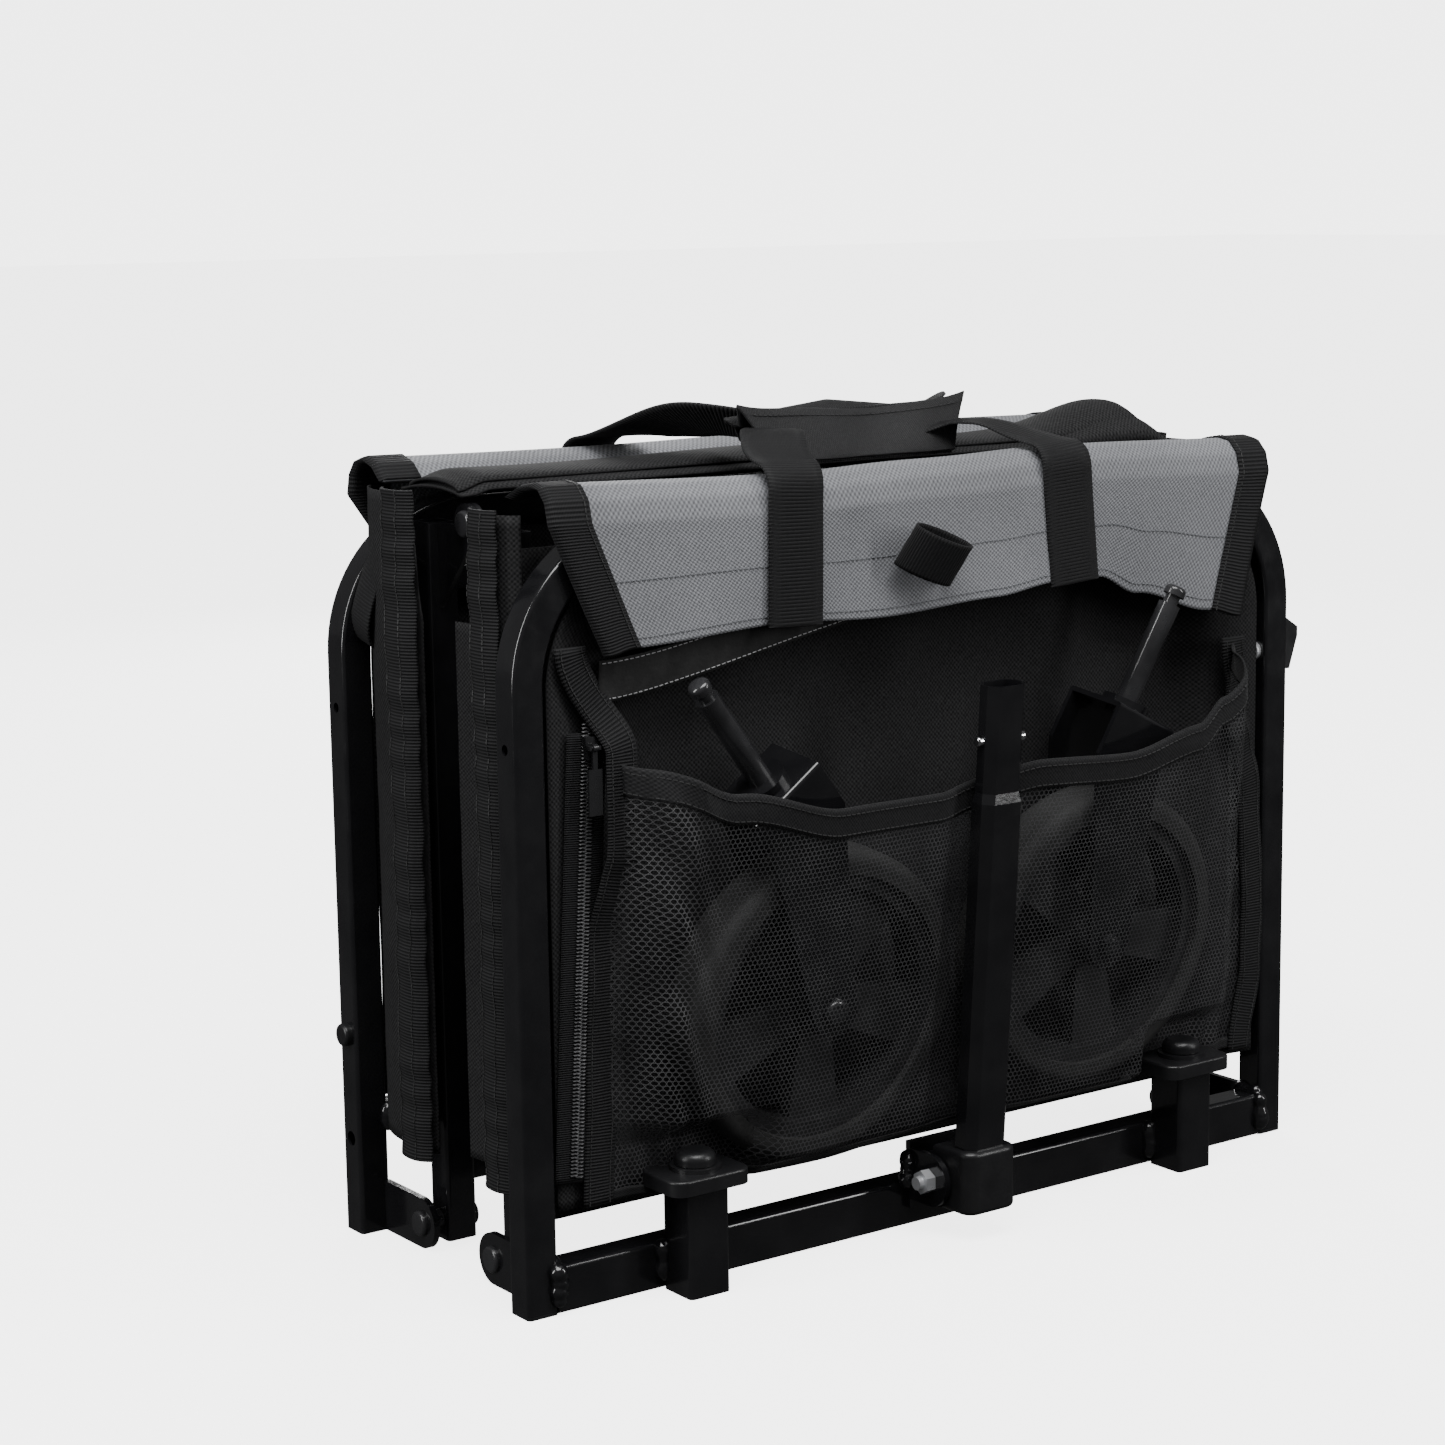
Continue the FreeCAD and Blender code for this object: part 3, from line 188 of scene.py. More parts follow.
# ---------------------------------------------------------------- stowed casters
# Each rim is one plastic moulding with a light spark grain, running on the axle in its fork. The
# tyres are matte foamed rubber, pressed over the rims.

rim_plastic = coated("rim_plastic", (0.010, 0.010, 0.0105), (0.017, 0.017, 0.018), 0.4, 0.55, 0.35)
tyre_foam = coated("tyre_foam", (0.014, 0.014, 0.014), (0.023, 0.023, 0.0225), 0.7, 0.85, 0.6)
finish(["rim_left", "rim_right"], rim_plastic)
finish(["tyre_left", "tyre_right"], tyre_foam)

# ---------------------------------------------------------------- front wall
# A wall of black coated oxford cloth hangs inside the front hoop, pushed back behind the wheels.
# Soft upright folds run down from the hook strip.


def mix(tree, amount, low, high):
    return step(tree, "ShaderNodeMix", {0: amount, 2: low, 3: high}, data_type="FLOAT").outputs[0]


def sine(tree, measure, pitch):
    """A wave along one measure of the cloth, one turn for each pitch in metres."""
    turn = step(tree, "ShaderNodeMath", {0: measure, 1: 2 * math.pi / pitch}, operation="MULTIPLY")
    return step(tree, "ShaderNodeMath", {0: turn.outputs[0]}, operation="SINE").outputs[0]


def flat_measures(tree):
    """The cloth's own flat measures in metres: first along its width, then along its length."""
    return step(tree, "ShaderNodeSeparateXYZ", {0: step(tree, "ShaderNodeUVMap").outputs[0]}).outputs


def woven(name, dark, light, thread, rough, lift=0.5, sheen=0.06, slub=0.35, shine=0.3):
    """Coated oxford: a basket weave laid out on the cloth's own flat measure."""
    material, tree, surface = shader(name)
    measures = flat_measures(tree)
    warp, weft = sine(tree, measures[0], thread), sine(tree, measures[1], thread)
    crossing = step(tree, "ShaderNodeMath", {0: warp, 1: weft}, operation="MULTIPLY").outputs[0]
    weave = ramp(tree, crossing, 0, 1, -0.9, 0.9)
    uneven = ramp(tree, speckle(tree, 700, 2.0), 0, 1)
    mixed = mix(tree, slub, weave, uneven)
    # The colour follows the weave's height: painted shade between the threads and lighter raised crossings,
    # mixed with random slub tone.
    colour = tint(tree, mixed, dark, light)
    cloudy = ramp(tree, speckle(tree, 9, 4.0), 0.86, 1.12)
    shaded = step(tree, "ShaderNodeVectorMath", {0: colour, 3: cloudy}, operation="SCALE").outputs[0]
    tree.links.new(shaded, surface.inputs["Base Color"])
    tree.links.new(ramp(tree, mixed, rough + 0.08, rough - 0.08, 0, 1), surface.inputs["Roughness"])
    surface.inputs["Sheen Weight"].default_value = sheen
    surface.inputs["Sheen Roughness"].default_value = 0.4
    surface.inputs["Specular IOR Level"].default_value = shine
    relief(tree, surface, mixed, lift, 0.0004)
    return material


black_oxford = woven("black_oxford", (0.004, 0.004, 0.0043), (0.038, 0.038, 0.039), 0.0030, 0.78, 0.5,
                     0.01, shine=0.1)


def spread(value, points):
    """The value at one place of a smooth line through (place, value) points."""
    if value <= points[0][0]:
        return points[0][1]
    for (x0, y0), (x1, y1) in zip(points, points[1:]):
        if value <= x1:
            share = (value - x0) / (x1 - x0)
            return y0 + (y1 - y0) * share * share * (3 - 2 * share)
    return points[-1][1]


def ease(value, low, high):
    """A soft step from 0 at low to 1 at high."""
    share = min(1, max(0, (value - low) / (high - low)))
    return share * share * (3 - 2 * share)


def cut_cloth(flat, count, hang):
    """A flat cut of cloth in metres, meshed and then hung by a rule from its two shares to a point."""
    mesh = bmesh.new()
    bmesh.ops.create_grid(mesh, x_segments=count[0], y_segments=count[1], size=0.5)
    measure = mesh.loops.layers.uv.new("cloth")
    for face in mesh.faces:
        face.smooth = True
        for loop in face.loops:
            loop[measure].uv = ((loop.vert.co.x + 0.5) * flat[0], (loop.vert.co.y + 0.5) * flat[1])
    for vert in mesh.verts:
        vert.co = hang(vert.co.x + 0.5, vert.co.y + 0.5)
    return mesh


def thicken(piece, millimetres):
    wall = piece.modifiers.new("thickness", "SOLIDIFY")
    wall.thickness = millimetres / 1000
    wall.offset = 0


front_wall_flat = (0.57, 0.366)
wall_thick = 1.2
panel_depth = [(-272, -68), (-236, -65), (-196, -47), (212, -47), (240, -65), (272, -68)]


hoop_half, hoop_corner, hoop_top = 272, 72, 425


def inside_hoop(z):
    """Half the inside width of a hoop at a height: straight legs, then a round corner."""
    over = max(0, z - (hoop_top - hoop_corner))
    return hoop_half - hoop_corner + math.sqrt(max(0, hoop_corner * hoop_corner - over * over))


def hang_front(u, v):
    z = 58 + 366 * v
    x = (2 * u - 1) * inside_hoop(z)
    y = spread(x, panel_depth)
    middle = ease(z, 150, 300) * (1 - ease(abs(x), 170, 240))
    y += middle * (2.2 * math.sin(x / 19 + z / 70) + 1.3 * math.sin(x / 10 - z / 50))
    return at(x, y, z)


front_wall = keep("front_wall", cut_cloth(front_wall_flat, (110, 60), hang_front), black_oxford,
                  "front_frame")
thicken(front_wall, wall_thick)
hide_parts("front_panel")

# ---------------------------------------------------------------- wheel pocket
# Hexagonal mesh sewn up the sides and along the bottom, held off the wall by the wheels, and closed
# along the top by a wide elastic band. The cells are 3 mm across the flats.

netting = coated("pocket_netting", (0.042, 0.042, 0.044), (0.085, 0.085, 0.088), 0.3, 0.45, 0.2)
pocket_top = [(-244, 312), (-224, 309), (-180, 293), (-110, 277), (-36, 276), (2, 281), (42, 287),
              (106, 284), (165, 295), (191, 309), (230, 329), (246, 334)]
pocket_low = [(-262, 60), (-181, 59), (-94, 57), (6, 66), (121, 63), (172, 61), (262, 66)]
pocket_reach = [(-244, 0), (-206, 0.85), (-130, 1.0), (-40, 0.92), (-14, 0.83), (14, 0.83), (60, 0.97),
                (150, 1.0), (206, 0.88), (250, 0)]
left_edge = [(59, -247), (121, -244), (206, -241), (271, -232), (316, -232), (377, -258)]
right_edge = [(62, 257), (119, 267), (159, 268), (228, 264), (296, 250), (336, 242)]
puckers = [(-212, 6.0, 19, 0.35), (234, 4.0, 17, -0.35)]
wall_face = -70
foot_out, more_at_top = 31, 28


def pocket_skin(x, z, off=0.0):
    """A point of the pocket's outer face: bulged by the wheels, tucked in over the latches."""
    out = foot_out + more_at_top * min(1, max(0, (z - 58) / 226))
    tuck = 1 - ease(abs(x), 140, 158) * (1 - ease(z, 88, 108))
    bottom = 1 - (1 - ease(z, 57, 74)) * 0.8
    y = wall_face - out * spread(x, pocket_reach) * tuck * bottom - off
    for centre, depth, wave, slant in puckers:
        near = max(0, 1 - abs(x + (z - 190) * slant * 0.2 - centre) / 40)
        y -= depth * near * near * (1 + math.sin((x + (z - 190) * slant) / wave * math.pi * 2)) * 0.5
    return at(x, y, z)


def pocket_edge(z, side):
    return spread(z, left_edge if side < 0 else right_edge)


def tiled(mesh, shift, doublings):
    """Doubles what a mesh holds, again and again, along one direction."""
    for doubling in range(doublings):
        copy = bmesh.ops.duplicate(mesh, geom=mesh.verts[:] + mesh.edges[:] + mesh.faces[:])["geom"]
        moved = [part for part in copy if isinstance(part, bmesh.types.BMVert)]
        bmesh.ops.translate(mesh, vec=Vector(shift) * 2 ** doubling, verts=moved)


def trim(mesh, unwanted):
    bmesh.ops.delete(mesh, geom=[face for face in mesh.faces if unwanted(face.calc_center_median())],
                     context="FACES")


def off_pocket(spot):
    x, z = spot.x, spot.y
    return (not pocket_edge(z, -1) - 4 < x < pocket_edge(z, 1) + 4
            or not spread(x, pocket_low) < z < spread(x, pocket_top) - 4)


cell = 3.0
net_thread = 0.30
net_half = 270
row_rise = cell * math.sqrt(3) / 2
net = bmesh.new()
turned = Matrix.Translation((-net_half, 57, 0)) @ Matrix.Rotation(math.pi / 6, 4, "Z")
bmesh.ops.create_circle(net, cap_ends=True, segments=6, radius=cell / math.sqrt(3), matrix=turned)
tiled(net, (cell, 0, 0), 8)
trim(net, lambda spot: spot.x > net_half)
tiled(net, (cell / 2, row_rise, 0), 1)
tiled(net, (0, 2 * row_rise, 0), 6)
trim(net, off_pocket)
bmesh.ops.remove_doubles(net, verts=net.verts, dist=0.05)
holes = list(net.faces)
bmesh.ops.inset_individual(net, faces=holes, thickness=net_thread, use_even_offset=True)
bmesh.ops.delete(net, geom=holes, context="FACES")
for vert in net.verts:
    vert.co = pocket_skin(vert.co.x, vert.co.y)
pocket_net = keep("pocket_net", net, netting, "front_frame")
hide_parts("wheel_pocket")

band_flat = (0.55, 0.019)
turned_in = 0.12
elastic = woven("elastic_band", (0.006, 0.006, 0.0065), (0.026, 0.026, 0.027), 0.0024, 0.75, shine=0.15)


def hang_band(u, v):
    """The band folds over the net's top edge, with the share turned_in behind it."""
    x = -238 + 484 * u
    z = spread(x, pocket_top) + 0.6
    if v < turned_in:
        return pocket_skin(x, z, 0.4 - 14 * (turned_in - v))
    return pocket_skin(x, z - (v - turned_in) / (1 - turned_in) * 17, 0.7)


pocket_band = keep("pocket_band", cut_cloth(band_flat, (150, 10), hang_band), elastic, "front_frame")
thicken(pocket_band, 1.0)
hem_flat = (0.56, 0.01)


def hang_hem(u, v):
    x = -250 + 506 * u
    z = spread(x, pocket_low)
    return pocket_skin(x, z + 6 * v - 1, 0.4)


pocket_hem = keep("pocket_hem", cut_cloth(hem_flat, (150, 4), hang_hem), elastic, "front_frame")
thicken(pocket_hem, 1.2)

# ---------------------------------------------------------------- thread
# Every binding and hem is lockstitched: single stitches of about 3 mm with a short gap. They show
# palest beside the hook strip.

thread_black = coated("black_thread", (0.02, 0.02, 0.02), (0.045, 0.045, 0.046), 0.5, 0.65, 0.2)
thread_grey = coated("grey_thread", (0.10, 0.105, 0.115), (0.17, 0.175, 0.185), 0.5, 0.65, 0.2)
thread_pale = coated("pale_thread", (0.30, 0.30, 0.31), (0.5, 0.5, 0.51), 0.5, 0.65, 0.2)
thread_wide, thread_high = 0.55, 0.5


def stitched(name, lines, material, body, stitch=2.7, gap=1.0):
    """Rows of stitches along lines of points, each a small box lying along its line."""
    whole = bmesh.new()
    for line in lines:
        mesh = bmesh.new()
        lengths = [0]
        for a, b in zip(line, line[1:]):
            lengths.append(lengths[-1] + (b - a).length * 1000)
        place, spot = gap, 0
        while place + stitch < lengths[-1]:
            centre = place + stitch / 2
            while lengths[spot + 1] < centre:
                spot += 1
            a, b = line[spot], line[spot + 1]
            middle = a.lerp(b, (centre - lengths[spot]) / (lengths[spot + 1] - lengths[spot]))
            turn = (b - a).to_track_quat("X", "Z").to_matrix().to_4x4()
            scale = Matrix.Diagonal((stitch / 1000, thread_wide / 1000, thread_high / 1000, 1))
            bmesh.ops.create_cube(mesh, size=1, matrix=Matrix.Translation(middle) @ turn @ scale)
            place += stitch + gap
        row = bpy.data.meshes.new("row")
        mesh.to_mesh(row)
        mesh.free()
        whole.from_mesh(row)
        bpy.data.meshes.remove(row)
    return keep(name, whole, material, body)


def along(rule, count=90):
    """The points of a line that a rule gives from its share, 0 to 1."""
    return [rule(number / count) for number in range(count + 1)]


stitched("pocket_band_stitches",
         [along(lambda u, drop=drop: hang_band(u, drop) + at(0, -0.8, 0)) for drop in (0.3, 0.9)],
         thread_black, "front_frame")

# ---------------------------------------------------------------- bindings beside the pocket
# Ribbed polyester tape is folded over the side edges of the front wall and the pocket, its own edges
# turned under, and stitched down along both.


def ribbed(name, dark, light, pitch, rough, lift=1.0, along_length=True):
    """Ribbed tape: crosswise ribs by the tape's own length, over a fine lengthwise grain."""
    material, tree, surface = shader(name)
    measures = flat_measures(tree)
    run, cross = (0, 1) if along_length else (1, 0)
    ribs = sine(tree, measures[run], pitch)
    grain = sine(tree, measures[cross], 0.0009)
    height = ramp(tree, mix(tree, 0.2, ribs, grain), 0, 1, -1, 1)
    # The rib and grain height also sets the colour: painted shade in the grooves and lighter crowns, with a
    # fifth of random speckle.
    rib_shade_and_speckle = mix(tree, 0.2, height, speckle(tree, 600))
    tree.links.new(tint(tree, rib_shade_and_speckle, dark, light), surface.inputs["Base Color"])
    tree.links.new(ramp(tree, rib_shade_and_speckle, rough + 0.1, rough - 0.1, 0, 1), surface.inputs["Roughness"])
    surface.inputs["Sheen Weight"].default_value = 0.02
    surface.inputs["Specular IOR Level"].default_value = 0.18
    relief(tree, surface, height, lift, 0.0005)
    return material


binding_tape = ribbed("binding_tape", (0.005, 0.005, 0.0055), (0.022, 0.022, 0.023), 0.0019, 0.7)


def edge_tape(name, centre, wide):
    """Tape laid along a line of (point, across, outward), turned under at both its edges."""
    length = sum((centre((n + 1) / 40)[0] - centre(n / 40)[0]).length for n in range(40))

    def hang(u, v):
        spot, across, outward = centre(u)
        edge = abs(2 * v - 1)
        crown = 0.0009 * (1 - edge ** 4)
        ripple = 0.0003 * math.sin(u * 37 + v * 3) * edge
        return spot + across * ((v - 0.5) * wide / 1000) + outward * (crown + ripple)

    piece = keep(name, cut_cloth((length, wide / 1000), (80, 10), hang), binding_tape, "front_frame")
    thicken(piece, 1.3)
    return hang


def side_line(side, low, high):
    """The line of one side binding, over the pocket's edge and the wall above it."""
    def centre(u):
        z = low + (high - low) * u
        x = pocket_edge(z, side)
        ahead = pocket_edge(z + 1, side) - pocket_edge(z - 1, side)
        run = Vector((ahead, 0, 2)).normalized()
        across = Vector((run.z, 0, -run.x))
        y = pocket_skin(x, min(z, 300)).y - 0.0014
        return Vector((x / 1000, max(y, -0.0815), z / 1000)), across, Vector((0, -1, 0))
    return centre


left_hang = edge_tape("left_binding", side_line(-1, 58, 378), 20)
right_hang = edge_tape("right_binding", side_line(1, 62, 338), 19)
stitched("side_binding_stitches",
         [along(lambda u, hang=hang, v=v: hang(u, v) + at(0, -0.9, 0)) for hang in (left_hang, right_hang)
          for v in (0.16, 0.84)],
         thread_black, "front_frame")

# ---------------------------------------------------------------- zip
# A coil zip runs down beside the left binding: two rows of nylon turns on a black tape, with a
# lacquered slider and pull.

zip_gloss = coated("zip_lacquer", (0.012, 0.012, 0.013), (0.022, 0.022, 0.023), 0.15, 0.25, 0.05, coat=0.5)
finish(["zip_slider", "zip_pull"], zip_gloss)
zip_top, zip_low = (-248, -71.5, 322), (-262, -71.5, 74)
zip_run = (at(*zip_low) - at(*zip_top)).normalized()
zip_across = Vector((-zip_run.z, 0, zip_run.x))
zip_over = 0.012
zip_length = (at(*zip_low) - at(*zip_top)).length + zip_over
zip_flat = (0.256, 0.026)
tooth_pitch = 0.0021
zip_coil = coated("zip_coil", (0.04, 0.04, 0.042), (0.08, 0.08, 0.083), 0.25, 0.4, 0.1)
tooth_turn = Matrix((zip_across, Vector((0, -1, 0)), zip_run)).transposed().to_4x4()
tooth_shape = Matrix.Diagonal((0.0030, 0.0014, 0.00075, 1))
teeth = bmesh.new()
for number in range(int(zip_length / tooth_pitch)):
    for side in (-1, 1):
        spot = at(*zip_top) - zip_run * zip_over + zip_run * (number + 0.25 * side) * tooth_pitch
        spot += zip_across * side * 0.0017 + at(0, -0.9, 0)
        bmesh.ops.create_icosphere(teeth, subdivisions=1, radius=1,
                                   matrix=Matrix.Translation(spot) @ tooth_turn @ tooth_shape)
zip_teeth = keep("zip_teeth", teeth, zip_coil, "front_frame")
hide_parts("zip_chain")


def hang_zip_tape(u, v):
    spot = at(*zip_top).lerp(at(*zip_low), u * 1.03 - 0.03)
    return spot + zip_across * (v - 0.5) * zip_flat[1] + at(0, 1.2 * abs(2 * v - 1) - 0.2, 0)


zip_cloth = ribbed("zip_cloth", (0.004, 0.004, 0.0045), (0.013, 0.013, 0.014), 0.0013, 0.7)
zip_tape = keep("zip_tape", cut_cloth(zip_flat, (60, 8), hang_zip_tape), zip_cloth, "front_frame")
thicken(zip_tape, 0.7)

# ---------------------------------------------------------------- hook strip
# A band of nylon hook tape runs across the front wall under the flap, which it holds shut. It is
# stitched along both edges in pale thread.

hooks_flat = (0.295, 0.024)
hooks = coated("hook_tape", (0.006, 0.006, 0.006), (0.03, 0.03, 0.03), 0.8, 0.95, 1.0)


def hang_hooks(u, v):
    x = -240 + 290 * u
    z = 345 + 1.5 * math.sin(u * 7) + 36 * ease(u, 0.02, 0.8) + 24 * v
    lean = ease(x, -236, -180)
    return at(x, -71.8 - 2.0 * v * (1 - lean) + lean * (3.0 - 5.0 * v), z)


strip = keep("hook_band", cut_cloth(hooks_flat, (100, 10), hang_hooks), hooks, "front_frame")
thicken(strip, 1.4)
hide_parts("hook_strip")
stitched("hook_band_stitches",
         [along(lambda u, v=v: hang_hooks(u, v) + at(0, -0.8, 0)) for v in (0.08, 0.93)],
         thread_pale, "front_frame", stitch=2.4, gap=1.3)

# ---------------------------------------------------------------- front flap
# The grey weather flap folds over the top of the front hoop and down its front, narrower below. Its
# slanted ends are bound in black tape and its lower edge is turned up and stitched twice.

grey_oxford = woven("grey_oxford", (0.085, 0.087, 0.094), (0.285, 0.29, 0.308), 0.0032, 0.62, 0.7, 0.1,
                    0.22)
flap_flat, flap_area = (0.542, 0.127), 0.0665
flap_thick = 1.5
flap_top_half, flap_low_half = 271, 240
flap_hem = [(-240, 372), (-222, 375), (-120, 379), (-47, 376), (40, 381), (88, 386), (126, 386), (159, 373),
            (215, 358), (240, 352)]
flap_profile = [(-33, 457), (-45, 462.5), (-58, 464.5), (-67, 463), (-73.5, 456), (-76.5, 444)]
over_hoop = 0.36


def round_hoop(profile, share):
    """The depth and height of a flap where it rounds the top of its hoop."""
    place = share * (len(profile) - 1)
    first = min(int(place), len(profile) - 2)
    part = place - first
    (y0, z0), (y1, z1) = profile[first], profile[first + 1]
    return y0 + (y1 - y0) * part, z0 + (z1 - z0) * part


def hang_flap(u, v):
    """The share over_hoop of the flap rounds the hoop, and the rest hangs down in front of it."""
    share = 2 * u - 1
    if v < over_hoop:
        y, z = round_hoop(flap_profile, v / over_hoop)
        x = share * flap_top_half
        return at(x, y, z + 2.0 * math.sin(x / 62) * ease(abs(share), 0, 0.3))
    down = (v - over_hoop) / (1 - over_hoop)
    x = share * (flap_top_half - (flap_top_half - flap_low_half) * down)
    hem = spread(share * flap_low_half, flap_hem)
    top_y, top_z = flap_profile[-1]
    z = top_z + 2.0 * math.sin(x / 62) * ease(abs(share), 0, 0.3) * (1 - down) - (top_z - hem) * down
    y = top_y - 2.0 * down - 2.2 * math.sin(x / 41 + 0.6) * down * down
    y += 1.6 * math.exp(-((x + 62) / 16) ** 2) * down * (1 - down) * 4
    y -= 4.0 * ease(x, 150, 215) * down * down + 1.5 * ease(abs(x), 222, 240) * down
    return at(x, y, z)


flap = keep("front_weather_flap", cut_cloth(flap_flat, (150, 64), hang_flap), grey_oxford,
            "front_frame")
thicken(flap, flap_thick)
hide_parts("front_flap")
stitched("front_flap_stitches",
         [along(lambda u, v=v: hang_flap(0.03 + 0.94 * u, v) + at(0, -1.0, 0), 120)
          for v in (0.95, 0.66)],
         thread_grey, "front_frame", stitch=2.6, gap=1.1)


tape_count, tape_thick = (70, 12), 1.1


def end_tape(hang, side):
    """Black binding folded over one slanted end of a flap, by the flap's own rule."""
    def wrap(u, v):
        spot = hang(0.5 + side * (0.5035 - 0.05 * abs(v - 0.5) * 2), u)
        lift = 1.5 if v < 0.5 else -1.5 if v > 0.5 else 0
        return spot + lifted(hang, side, u, lift)
    return wrap


def lifted(hang, side, place, amount):
    """A step of so many millimetres straight out of a flap near one of its ends."""
    share = 0.5 + side * 0.48
    downward = hang(share, min(1, place + 0.02)) - hang(share, max(0, place - 0.02))
    outward = downward.cross(Vector((1, 0, 0))).normalized()
    if outward.y > 0 and abs(outward.y) > abs(outward.z):
        outward = -outward
    return outward * amount / 1000


end_seams = []
for side, label in ((-1, "left"), (1, "right")):
    wrap = end_tape(hang_flap, side)
    tape = keep("front_flap_tape_" + label, cut_cloth((0.127, 0.05), tape_count, wrap), binding_tape,
                "front_frame")
    thicken(tape, tape_thick)
    end_seams.append(along(lambda u, wrap=wrap: wrap(u, 0.06) + lifted(hang_flap, side, u, 0.8)))
stitched("front_flap_tape_stitches", end_seams, thread_black, "front_frame")

# ---------------------------------------------------------------- carry straps and wrap
# Two loops of 38 mm webbing, one sewn to each flap, meet in a black cloth wrap: the grip that the
# folded stroller is carried by.

strap_webbing = ribbed("strap_webbing", (0.005, 0.005, 0.0055), (0.030, 0.030, 0.031), 0.0021, 0.65, 0.8)
rib_pitch = 2.1
strap_wide, strap_thick = 38, 1.5


def route(points, count):
    """Evenly spaced points along a smooth line through the given ones, in millimetres."""
    guide = bpy.data.curves.new("guide", "CURVE")
    guide.dimensions = "3D"
    guide.resolution_u = 24
    line = guide.splines.new("NURBS")
    line.points.add(len(points) - 1)
    for point, place in zip(line.points, points):
        point.co = (*at(*place), 1)
    line.use_endpoint_u = True
    line.order_u = 3
    holder = bpy.data.objects.new("guide", guide)
    mesh = bpy.data.meshes.new_from_object(holder)
    run = [vert.co.copy() for vert in mesh.vertices]
    bpy.data.meshes.remove(mesh)
    bpy.data.objects.remove(holder)
    bpy.data.curves.remove(guide)
    reach = [0]
    for a, b in zip(run, run[1:]):
        reach.append(reach[-1] + (b - a).length)
    even, spot = [], 0
    for number in range(count + 1):
        goal = reach[-1] * number / count
        while spot < len(run) - 2 and reach[spot + 1] < goal:
            spot += 1
        part = (goal - reach[spot]) / max(1e-9, reach[spot + 1] - reach[spot])
        even.append(run[spot].lerp(run[spot + 1], part))
    return even, reach[-1]


def webbing(name, points, turns, body, wide=strap_wide, bunched=1.0):
    """A webbing strap with real crosswise ribs, its width turning from one direction to the next."""
    first_length = route(points, 400)[1]
    count = int(first_length * 1000 / rib_pitch * 4)
    line, length = route(points, count)
    turns = [Vector(turn) for turn in turns]

    def hang(u, v):
        place = min(count, round(u * count))
        ahead = (line[min(count, place + 1)] - line[max(0, place - 1)]).normalized()
        share = min(u * (len(turns) - 1), len(turns) - 1.001)
        side = turns[int(share)].lerp(turns[int(share) + 1], ease(share % 1, 0, 1))
        side = (side - ahead * side.dot(ahead)).normalized()
        outward = ahead.cross(side)
        size = wide * (1 - (1 - bunched) * ease(u, 0.3, 0.42) * (1 - ease(u, 0.58, 0.7)))
        edge = 1 - abs(2 * v - 1) ** 6
        rib_lift = 0.34 * math.sin(place * math.pi / 2) * edge
        return line[place] + side * (v - 0.5) * size / 1000 + outward * (rib_lift + 0.25 * edge) / 1000

    strap = keep(name, cut_cloth((length, wide / 1000), (count, 8), hang), strap_webbing, body)
    thicken(strap, strap_thick)
    return strap


in_grip = 0.6
front_strap = webbing(
    "front_strap",
    [(-110, -81, 377), (-109, -80.6, 410), (-108, -79.6, 446), (-107, -79, 461), (-106, -72, 469),
     (-104, -60, 471.5), (-98, -46, 476), (-88, -31, 483), (-78, -14, 485), (-60, -3, 482), (0, -1, 481),
     (48, -3, 481), (68, -13, 482), (78, -30, 482), (88, -46, 475), (95, -60, 471), (98, -72, 469),
     (99, -78.4, 461), (100, -78.4, 444), (102, -79.4, 412), (104, -80.3, 384)],
    [(1, 0, 0), (1, 0, 0), (0.78, -0.62, 0), (0, -0.3, -0.95), (-0.78, -0.62, 0), (-1, 0, 0), (-1, 0, 0)],
    "front_frame", bunched=in_grip)
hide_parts("front_carry_strap")

grip_flat = (0.16, 0.1)
wrap_depth = [(0, -18), (0.30, -6), (0.36, -3.5), (0.42, -1.5), (0.47, 1), (0.55, 4.5), (0.60, 6.5),
              (0.66, 8.5), (0.80, 13), (0.92, 0), (1, -16)]
wrap_rise = [(0, 465), (0.30, 491), (0.36, 495), (0.42, 494), (0.47, 488.5), (0.55, 496.5), (0.60, 498),
             (0.66, 493), (0.80, 477), (0.92, 465.5), (1, 463.5)]


def hang_wrap(u, v):
    """The wrap is folded flat round the webbing: its front corners point up, its back peaks between."""
    z = spread(v, wrap_rise)
    y = spread(v, wrap_depth)
    rise = max(0, (z - 463) / 34)
    ear = abs(2 * u - 1) ** 8 * rise ** 3
    half = 66 + 19 * rise + 4 * ear
    x = -6 + half * (2 * u - 1)
    if v < 0.45:
        z += 4.5 * ear - 4.0 * rise ** 2 * math.sin(math.pi * u) ** 2 * ease(u, 0.1, 0.6)
        y += 1.8 * math.sin(u * 13 + 0.5) * math.sin(math.pi * v / 0.45)
    elif v < 0.75:
        z -= 9 * abs(u - 0.42) * 2 * ease(z, 484, 496)
    return at(x, y, min(z, 501))


wrap_cloth = woven("wrap_oxford", (0.005, 0.005, 0.0055), (0.026, 0.026, 0.027), 0.0017, 0.62, 0.8)
grip = keep("grip_wrap", cut_cloth(grip_flat, (80, 60), hang_wrap), wrap_cloth, "front_frame")
thicken(grip, 1.4)
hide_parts("handle_wrap")
stitched("grip_wrap_stitches", [along(lambda u: hang_wrap(0.03 + 0.94 * u, 0.29) + at(0, -1.0, 0.6))],
         thread_black, "front_frame")

# ---------------------------------------------------------------- keeper loop
# A short loop of soft binding tape holds the flap when it is rolled up. It is sewn to the flap at
# one spot, with a small cross in grey thread.

keeper_flat = (0.1, 0.029)


def hang_keeper(u, v):
    """A squashed ring whose opening leans right and out, pressed flat where it is sewn on."""
    turn = math.pi * 2 * (u - 0.02)
    ring = Vector((21 * math.sin(turn), 8.8 * math.cos(turn), 27 * (v - 0.5)))
    ring.rotate(Euler((math.radians(24), 0, 0)))
    ring.rotate(Euler((0, math.radians(20), 0)))
    return at(ring.x - 17, min(ring.y - 92, -81.9), ring.z + 412)


